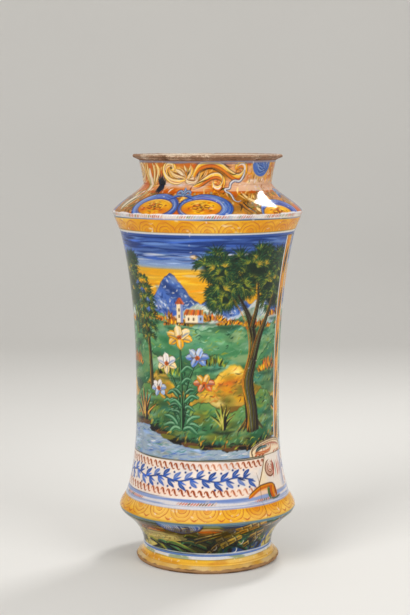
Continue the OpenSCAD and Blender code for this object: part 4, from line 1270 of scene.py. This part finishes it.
class Net:
    """One piece as its faces are gathered: points with paint and glaze, and faces with bake coordinates."""

    def __init__(self):
        self.points, self.values, self.faces, self.maps, self.smooth = [], [], [], [], []
        self.count = 0

    def grid(self, points, paint, glazed):
        """Adds a grid of points with their paint and their share of glaze, and gives its point numbers."""
        shape = points.shape[:-1]
        number = self.count + np.arange(np.prod(shape)).reshape(shape)
        values = np.dstack([np.broadcast_to(paint, shape + (3,)), np.broadcast_to(glazed, shape)])
        self.points.append(points.reshape(-1, 3))
        self.values.append(values.reshape(-1, 4))
        self.count += number.size
        return number

    def add(self, corner, maps, smooth=True):
        """Adds faces: point numbers, with the corners on the last axis, and the corners' bake coordinates."""
        self.faces.append(corner.reshape(-1, corner.shape[-1]))
        self.maps.append(maps.reshape(-1, 2))
        self.smooth.append(np.full(len(self.faces[-1]), smooth))

    def piece(self, name, node):
        """Makes the object, lets it ride on the jar and stand for its CAD node."""
        points, values = np.vstack(self.points), np.vstack(self.values)
        sides = np.concatenate([np.full(len(faces), faces.shape[1]) for faces in self.faces])
        loops = np.concatenate([faces.ravel() for faces in self.faces])
        mesh = bpy.data.meshes.new(name)
        mesh.vertices.add(len(points))
        mesh.vertices.foreach_set("co", points.ravel())
        mesh.loops.add(len(loops))
        mesh.loops.foreach_set("vertex_index", loops.astype(np.int32))
        mesh.polygons.add(len(sides))
        mesh.polygons.foreach_set("loop_start", (np.cumsum(sides) - sides).astype(np.int32))
        mesh.polygons.foreach_set("loop_total", sides.astype(np.int32))
        mesh.polygons.foreach_set("use_smooth", np.concatenate(self.smooth))
        mesh.uv_layers.new(name="OFBake").data.foreach_set("uv", np.concatenate(self.maps).ravel())
        paint = np.hstack([tone(values[:, :3]), np.ones((len(values), 1))])
        mesh.color_attributes.new("paint", "FLOAT_COLOR", "POINT").data.foreach_set("color", paint.ravel())
        mesh.attributes.new("glazed", "FLOAT", "POINT").data.foreach_set("value", values[:, 3])
        mesh.update(calc_edges=True)
        mesh.materials.append(painted)
        thing = bpy.data.objects.new(name, mesh)
        bpy.context.scene.collection.objects.link(thing)
        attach(thing, "root")
        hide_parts(node)


def corners(number, closed=True):
    """Four-cornered faces of a numbered grid whose columns may close into a ring."""
    right = np.roll(number, -1, 1) if closed else number[:, 1:]
    left = number if closed else number[:, :-1]
    return np.stack([left[:-1], right[:-1], right[1:], left[1:]], -1)


def square_map(rows, columns, low, high, strips=1):
    """Bake coordinates of a grid's faces: its band is cut into strips, stacked between two heights."""
    i, j = np.meshgrid(np.arange(columns), np.arange(rows))
    strip = np.minimum(i * strips // columns, strips - 1)
    height = (high - low) / strips
    rim = min(MAP_MARGIN, height / 8)

    def at(di, dj):
        u = MAP_MARGIN + (1 - 2 * MAP_MARGIN) * ((i + di) * strips / columns - strip)
        v = low + height * strip + rim + (height - 2 * rim) * (j + dj) / rows
        return np.stack([u, v], -1)
    return np.stack([at(0, 0), at(1, 0), at(1, 1), at(0, 1)], 2)


def coat_piece(node, coat, columns, strips):
    """A painted coat as a closed shell: its outside grid, an inside grid of fewer rows, and its edges.

    In the bake square the back lies lowest, the edges lie in strips above it and the front fills the rest.
    """
    closed = len(columns) == coat.columns
    rows_to_one = 4 if closed else 18
    angle = coat.angle[0] + FULL_TURN * columns / coat.columns
    height = coat.z[:, None]
    behind = np.linspace(0, coat.rows - 1, coat.rows // rows_to_one + 2)
    behind = np.unique(behind.round().astype(int))
    outside = place(coat.radius[:, None] + wobble(angle, height), angle, height)
    inside = place(coat.radius[behind, None] - COAT_DEPTH, angle, height[behind])
    net = Net()
    front = net.grid(outside, coat.paint[:, columns % coat.columns], 1.0)
    back = net.grid(inside, CLAY, 0.0)
    faces, hidden = corners(front, closed), corners(back, closed)[..., ::-1]
    net.add(faces, square_map(*faces.shape[:2], FRONT_FROM, 1, strips))
    net.add(hidden, square_map(*hidden.shape[:2], 0, BACK_TO))
    for row, low, way in ((0, BACK_TO, -1), (-1, BACK_TO + EDGE_TALL, 1)):
        rim = corners(np.stack([front[row], back[row]]), closed)[..., ::way]
        net.add(rim, square_map(*rim.shape[:2], low, low + EDGE_TALL), False)
    if not closed:
        below = np.searchsorted(behind, np.arange(coat.rows - 1), side="right") - 1
        for end, low, way in ((0, BACK_TO + 2 * EDGE_TALL, 1), (-1, BACK_TO + 3 * EDGE_TALL, -1)):
            half = low + EDGE_TALL / 2
            fan = np.stack([back[below, end], front[:-1, end], front[1:, end]], -1)[:, ::way]
            rest = np.stack([back[:-1, end], front[behind[1:], end], back[1:, end]], -1)[:, ::way]
            net.add(fan, square_map(len(fan), 1, low, half)[..., :3, :], False)
            net.add(rest, square_map(len(rest), 1, half, low + EDGE_TALL)[..., :3, :], False)
    net.piece(node + "_painted", node)


def outline_of(node):
    """A turned CAD node's outline as closed rows of radii and heights, walked along its mesh: up outside."""
    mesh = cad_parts[node].data
    ends = np.empty(len(mesh.edges) * 2, np.int32)
    mesh.edges.foreach_get("vertices", ends)
    spots, which = np.unique(np.round(np.stack(points_of(node), 1), 2), axis=0, return_inverse=True)
    links = which.ravel()[ends].reshape(-1, 2)
    links = {tuple(sorted(link)) for link in links.tolist() if link[0] != link[1]}
    path = [max(range(len(spots)), key=lambda spot: spots[spot, 0] - 100 * spots[spot, 1])]
    while len(path) < len(spots):
        beside = {a + b - path[-1] for a, b in links if path[-1] in (a, b)} - set(path)
        path.append(max(beside, key=lambda spot: spots[spot, 1]))
    radius, height = spots[path + path[:1]].T
    length = length_along(radius, height)
    at = np.concatenate([np.linspace(a, b, int(np.ceil((b - a) / RING_PITCH)), endpoint=False)
                         for a, b in zip(length[:-1], length[1:])])
    return np.interp(at, length, radius), np.interp(at, length, height)


def turned_piece(node, worked):
    """A clay ring as a grid that closes both ways: the node's outline, turned, and worked by a function."""
    radius, height = outline_of(node)
    angle = FULL_TURN * np.arange(RING_COLUMNS) / RING_COLUMNS - np.pi
    radius, height, paint, glazed = worked(radius[:, None], height[:, None], angle[None])
    net = Net()
    number = net.grid(place(radius, angle, height), paint, glazed)
    faces = corners(np.vstack([number, number[:1]]))
    net.add(faces, square_map(*faces.shape[:2], 0, 1, 3))
    net.piece(node + "_turned", node)


def worn_lip(radius, height, angle):
    """The neck's bare lip: a little uneven along its top, chipped outside, with glaze left in the hollows."""
    on_lip = ramp(height, LIP_FOOT - 0.2, LIP_FOOT + 1.2)
    middle = (radius[height > LIP_FOOT].max() + radius[height > LIP_FOOT].min()) / 2
    outside = ramp(radius, middle - 1, middle + 4)
    dip = 0.07 * (1 + ring_noise(angle, (2, 3, 5, 9), 11)) + 0.05 * (1 + ring_noise(angle, (17, 29, 41), 12))
    chip = ramp(ring_noise(angle, (7, 13, 19, 31), 13), 1.2, 1.9)
    chip = chip + 0.5 * ramp(ring_noise(angle, (23, 37, 53), 14), 1.0, 1.6)
    worn_height = height - on_lip * ramp(height, LIP_FOOT, LIP_TOP) * (dip + 0.7 * chip * outside)
    worn_radius = radius - on_lip * outside * (0.08 * (1 + ring_noise(angle, (4, 11, 21), 15)) + 0.8 * chip)
    grit = np.random.default_rng(18).normal(0, 1, np.broadcast(height, angle).shape)
    remains = ring_noise(angle, (3, 7, 12, 26), 16) + 0.6 * np.sin(height * 2.1 + 3 * angle) + 0.5 * grit
    inner = ramp(radius, middle + 1.5, middle - 2)
    glazed = np.clip(0.85 * ramp(remains, 0.2, 1.4) * (1 - chip) + inner * 0.9, 0, 1) * on_lip
    stain = ramp(ring_noise(angle, (5, 8, 14, 33), 17) + 0.7 * np.sin(height * 3) - 0.4 * grit, 0.9, 2.2)
    clay = mixed((150, 114, 88), (92, 64, 44), stain[..., None])
    # A thin dark line round the outside of the lip is painted shade: it stands for a groove between the rim
    # and the bead below it.
    groove_shade = outside * np.exp(-((height - 0.45 * LIP_FOOT - 0.55 * LIP_TOP) / 0.4) ** 2)
    paint = mixed(mixed(clay, (208, 186, 160), glazed[..., None]), (84, 58, 40), 0.55 * groove_shade[..., None])
    return worn_radius, worn_height, np.clip(paint * (1 + 0.06 * grit[..., None]), 0, 255), glazed


def glazed_foot(radius, height, angle):
    """The foot ring: bare clay below, with the yellow glaze ended in a ragged edge and drips above."""
    edge = 0.62 * FOOT_TOP + 0.35 * ring_noise(angle, (3, 7, 13, 29), 21)
    edge = edge + 0.2 * ring_noise(angle, (47, 61), 22)
    outside = ramp(radius, radius.min() + 8, radius.min() + 8.6)
    glazed = ramp(height, edge - 0.4, edge + 0.4) * outside
    stain = ramp(ring_noise(angle, (6, 9, 23), 23) + np.sin(height * 2), 0, 1.6)
    # The bare clay's tone is its own, made darker as painted shade for the shadow under the foot; the stain
    # variation is real.
    clay = mixed((158, 120, 82), (108, 76, 48), stain[..., None])
    pale = np.clip(0.7 + 0.4 * ring_noise(angle, (5, 11, 17), 24), 0, 1)[..., None]
    yellow = mixed((204, 146, 44), (212, 180, 122), pale)
    chip = 0.35 * ramp(ring_noise(angle, (9, 17, 31), 25), 0.9, 1.7) * ramp(height, 3.2, 0.6) * outside
    return radius - chip, height, mixed(clay, yellow, glazed[..., None]), glazed


# Finishes

class Sock:
    """A shader socket in an expression: arithmetic on it adds Math nodes to its tree."""

    def __init__(self, tree, socket=None):
        self.tree, self.socket = tree, socket

    def node(self, kind, settings=(), inputs=(), output=0):
        """Adds a node: first its settings, then the values or links of its sockets, by name or number."""
        made = self.tree.nodes.new(kind)
        for key, value in dict(settings).items():
            setattr(made, key, value)
        for key, value in dict(inputs).items():
            if isinstance(value, Sock):
                self.tree.links.new(value.socket, made.inputs[key])
            else:
                made.inputs[key].default_value = value
        return Sock(self.tree, made.outputs[output] if len(made.outputs) else None)

    def math(self, operation, *values):
        """Adds a Math node."""
        return self.node("ShaderNodeMath", {"operation": operation}, enumerate(values))

    def __add__(self, other):
        return self.math("ADD", self, other)

    def __sub__(self, other):
        return self.math("SUBTRACT", self, other)

    def __rsub__(self, other):
        return self.math("SUBTRACT", other, self)

    def __mul__(self, other):
        return self.math("MULTIPLY", self, other)

    __radd__, __rmul__ = __add__, __mul__

    def between(self, low, high):
        """0 below low, 1 above high and a smooth S between them."""
        inputs = {0: self, 1: low, 2: high, 3: 0.0, 4: 1.0}
        return self.node("ShaderNodeMapRange", {"interpolation_type": "SMOOTHSTEP"}, inputs)

    def mix(self, first, second):
        """Two colours mixed, with self as the share of the second one."""
        return self.node("ShaderNodeMix", {"data_type": "RGBA"}, {0: self, 6: first, 7: second}, 2)

    def noise(self, per_metre, detail=3.0):
        """Noise at self's place, with so many spots in a metre."""
        inputs = {"Vector": self, "Scale": per_metre, "Detail": detail, "Roughness": 0.55}
        return self.node("ShaderNodeTexNoise", {}, inputs)

    def cells(self, per_metre, feature="F1"):
        """Distance from the middle, or with another feature from the edge, of cells, so many in a metre."""
        inputs = {"Vector": self, "Scale": per_metre}
        return self.node("ShaderNodeTexVoronoi", {"feature": feature}, inputs, "Distance")


def linear(paint):
    """A paint as a socket's colour."""
    return tuple(tone(paint)) + (1.0,)


def finish_of(name, build):
    """A material whose function gives base colour, roughness, bump height and bump distance in metres."""
    material = bpy.data.materials.new(name)
    material.use_nodes = True
    material.node_tree.nodes.clear()
    tree = Sock(material.node_tree)
    place_on = tree.node("ShaderNodeTexCoord", output="Object")
    colour, roughness, relief, deep = build(place_on)
    bump = tree.node("ShaderNodeBump", {}, {"Strength": 1.0, "Distance": deep, "Height": relief})
    inputs = {"Base Color": colour, "Roughness": roughness, "Normal": bump}
    inputs.update({"IOR": 1.48, "Specular IOR Level": 0.3})
    surface = tree.node("ShaderNodeBsdfPrincipled", {}, inputs)
    tree.node("ShaderNodeOutputMaterial", {}, {"Surface": surface})
    return material


def painted_glaze(at):
    """Painted tin glaze that gives way to bare clay: uneven paint, faint crazing and pinholes."""
    paint = at.node("ShaderNodeAttribute", {"attribute_name": "paint"}, output="Color")
    glazed = at.node("ShaderNodeAttribute", {"attribute_name": "glazed"}, output="Fac")
    fine, broad = at.noise(900.0), at.noise(130.0, 2.0)
    craze = (1 - at.cells(210.0, "DISTANCE_TO_EDGE").between(0.0, 0.035)) * at.noise(45.0).between(0.5, 0.62)
    pin = (1 - at.cells(260.0).between(0.05, 0.11)) * at.noise(60.0, 1.0).between(0.55, 0.66)
    level = 0.8 + 0.26 * fine + 0.14 * broad - 0.1 * craze - 0.35 * pin
    grey = at.node("ShaderNodeCombineColor", {}, {0: level, 1: level, 2: level})
    times = {"data_type": "RGBA", "blend_type": "MULTIPLY"}
    colour = at.node("ShaderNodeMix", times, {0: 1.0, 6: paint, 7: grey}, 2)
    roughness = glazed * (0.05 * broad + 0.05 * fine + 0.15 * craze - 0.73) + 0.78
    sand = fine + at.noise(2600.0, 2.0) * 0.5
    relief = glazed * (0.25 * broad - 0.12 * craze - 0.5 * pin) + (1 - glazed) * sand
    return colour, roughness, relief, 0.00025


def bare_clay(at):
    """Biscuit-fired buff clay: sandy grain, pale patches and dark specks."""
    grain, patches = at.noise(1800.0, 4.0), at.noise(90.0)
    speck = 1 - at.cells(420.0).between(0.06, 0.14)
    colour = patches.between(0.3, 0.75).mix(linear(CLAY), linear((200, 160, 126)))
    colour = (grain.between(0.45, 0.8) * 0.35).mix(colour, linear((140, 98, 70)))
    colour = (speck * 0.5).mix(colour, linear(BROWN))
    return colour, 0.8 + 0.15 * grain, grain - 0.3 * speck, 0.0003


def buff_glaze(at):
    """Thin cream glaze over clay: pale, a little streaked, with rust stains."""
    streak, fine = at.noise(70.0, 4.0), at.noise(700.0, 2.0)
    colour = streak.between(0.35, 0.75).mix(linear((222, 204, 176)), linear((196, 168, 134)))
    colour = (at.noise(160.0).between(0.62, 0.75) * 0.6).mix(colour, linear((150, 100, 64)))
    return colour, 0.22 + 0.15 * fine, streak + 0.2 * fine, 0.0004


def joint_slip(at):
    """Slip clay in the joints, a little redder than the body."""
    grain = at.noise(1500.0)
    colour = grain.between(0.3, 0.7).mix(linear((168, 112, 80)), linear((188, 136, 102)))
    return colour, 0.82 + 0.1 * grain, grain, 0.0002


def pale_card(at):
    """The studio's pale card."""
    soft = at.noise(3.0, 1.0)
    return soft.mix(linear((222, 220, 216)), linear((226, 224, 220))), 0.85 + 0.05 * soft, soft, 0.0001


painted = finish_of("painted_tin_glaze", painted_glaze)
for build, name, nodes in ((bare_clay, "bare_clay", ("base_section", "lower_body", "upper_body", "shoulder")),
                           (buff_glaze, "buff_lining_glaze", ("inner_glaze",)),
                           (joint_slip, "joint_slip", ("luting_slip",))):
    finish = finish_of(name, build)
    for node in nodes:
        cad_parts[node].data.materials.clear()
        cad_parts[node].data.materials.append(finish)


# Pieces: each band with the spacing of its points in mm, its strips in the bake square and its slot

BANDS = (
    ("neck_glaze", paint_neck, 0.5, 3, "orange_glaze"),
    ("shoulder_glaze", paint_shoulder, 0.52, 3, "orange_glaze"),
    ("upper_border_glaze", paint_upper_border, 0.52, 4, "yellow_glaze"),
    ("banner_glaze", paint_banner, 0.52, 3, "white_glaze"),
    ("lower_border_glaze", paint_lower_border, 0.52, 4, "yellow_glaze"),
    ("base_glaze", paint_base, 0.52, 3, "foliage_glaze"),
    ("foot_glaze", paint_foot, 0.55, 4, "yellow_glaze"))
FIRST_SEED, FIELD_SEED = 100, 200
FIELD_PITCH = 0.64

for number, (node, paint_band, pitch, strips, slot) in enumerate(BANDS):
    band = Coat(node, pitch, FIRST_SEED + number)
    paint_band(band)
    coat_piece(node, band, np.arange(band.columns), strips)

field = Coat("front_panel_glaze", FIELD_PITCH, FIELD_SEED)
paint_field(field)
half, quarter = field.columns // 2, field.columns // 4
for node, start in (("front_panel_glaze", quarter), ("back_panel_glaze", quarter + half)):
    coat_piece(node, field, np.arange(start, start + half + 1), 1)
turned_piece("neck", worn_lip)
turned_piece("foot_ring", glazed_foot)


# Studio: pale sweep, soft lamps and the camera

def sweep_card(width, near, far, bend, tall):
    """A floor that curves up into a backdrop: a flat run, a quarter circle and an upright run."""
    turn = np.linspace(0, np.pi / 2, 24)
    y = np.concatenate([[near], far + bend * np.sin(turn), [far + bend]])
    z = np.concatenate([[0], bend * (1 - np.cos(turn)), [tall]])
    rows = len(y)
    points = np.concatenate([np.stack([np.full(rows, side), y, z], 1) for side in (-width / 2, width / 2)])
    i = np.arange(rows - 1)
    mesh = bpy.data.meshes.new("sweep_card")
    mesh.from_pydata(points.tolist(), [], np.stack([i, i + rows, i + rows + 1, i + 1], 1).tolist())
    mesh.polygons.foreach_set("use_smooth", np.ones(rows - 1, bool))
    mesh.materials.append(finish_of("pale_card", pale_card))
    card = bpy.data.objects.new("sweep_card", mesh)
    bpy.context.scene.collection.objects.link(card)


def lamp(name, at, towards, size, watts, glossy):
    """A soft square lamp aimed at a point; only some are seen in the glaze."""
    light = bpy.data.lights.new(name, "AREA")
    light.shape = "RECTANGLE"
    light.size = light.size_y = size
    light.energy = watts
    holder = bpy.data.objects.new(name, light)
    holder.location = at
    holder.rotation_euler = (Vector(towards) - Vector(at)).to_track_quat("-Z", "Y").to_euler()
    holder.visible_glossy = glossy
    bpy.context.scene.collection.objects.link(holder)


# Places in metres, the camera's downward pitch in degrees and its lens in mm

BODY_MIDDLE = (0, 0, 0.17)
BRIGHT_PATCH = (0.047, -0.049, 0.294)
CAMERA_PLACE = (-0.0021, -1.198, 0.348)
CAMERA_PITCH = 6.74
CAMERA_LENS = 86.63
AIR_STRENGTH = 0.45

sweep_card(width=9.0, near=-3.0, far=1.2, bend=0.9, tall=4.0)
lamp("key_lamp", (-1.3, -1.6, 1.5), BODY_MIDDLE, 1.2, 38, False)
lamp("fill_lamp", (1.5, -1.5, 0.9), BODY_MIDDLE, 1.2, 22, False)
lamp("window_lamp", (0.42, 0.6, 1.04), BRIGHT_PATCH, 0.24, 6, True)

world = bpy.data.worlds.new("studio_air")
bpy.context.scene.world = world
world.use_nodes = True
air = world.node_tree.nodes["Background"]
air.inputs["Color"].default_value = linear((232, 230, 226))
air.inputs["Strength"].default_value = AIR_STRENGTH

eye = bpy.data.cameras.new("photo_camera")
eye.lens, eye.sensor_width, eye.clip_start, eye.clip_end = CAMERA_LENS, 36.0, 0.05, 30.0
eye.dof.use_dof = False
viewer = bpy.data.objects.new("photo_camera", eye)
viewer.location = CAMERA_PLACE
viewer.rotation_euler = (np.radians(90 - CAMERA_PITCH), 0, 0)
bpy.context.scene.collection.objects.link(viewer)
bpy.context.scene.camera = viewer
bpy.context.scene.view_settings.view_transform = "Standard"
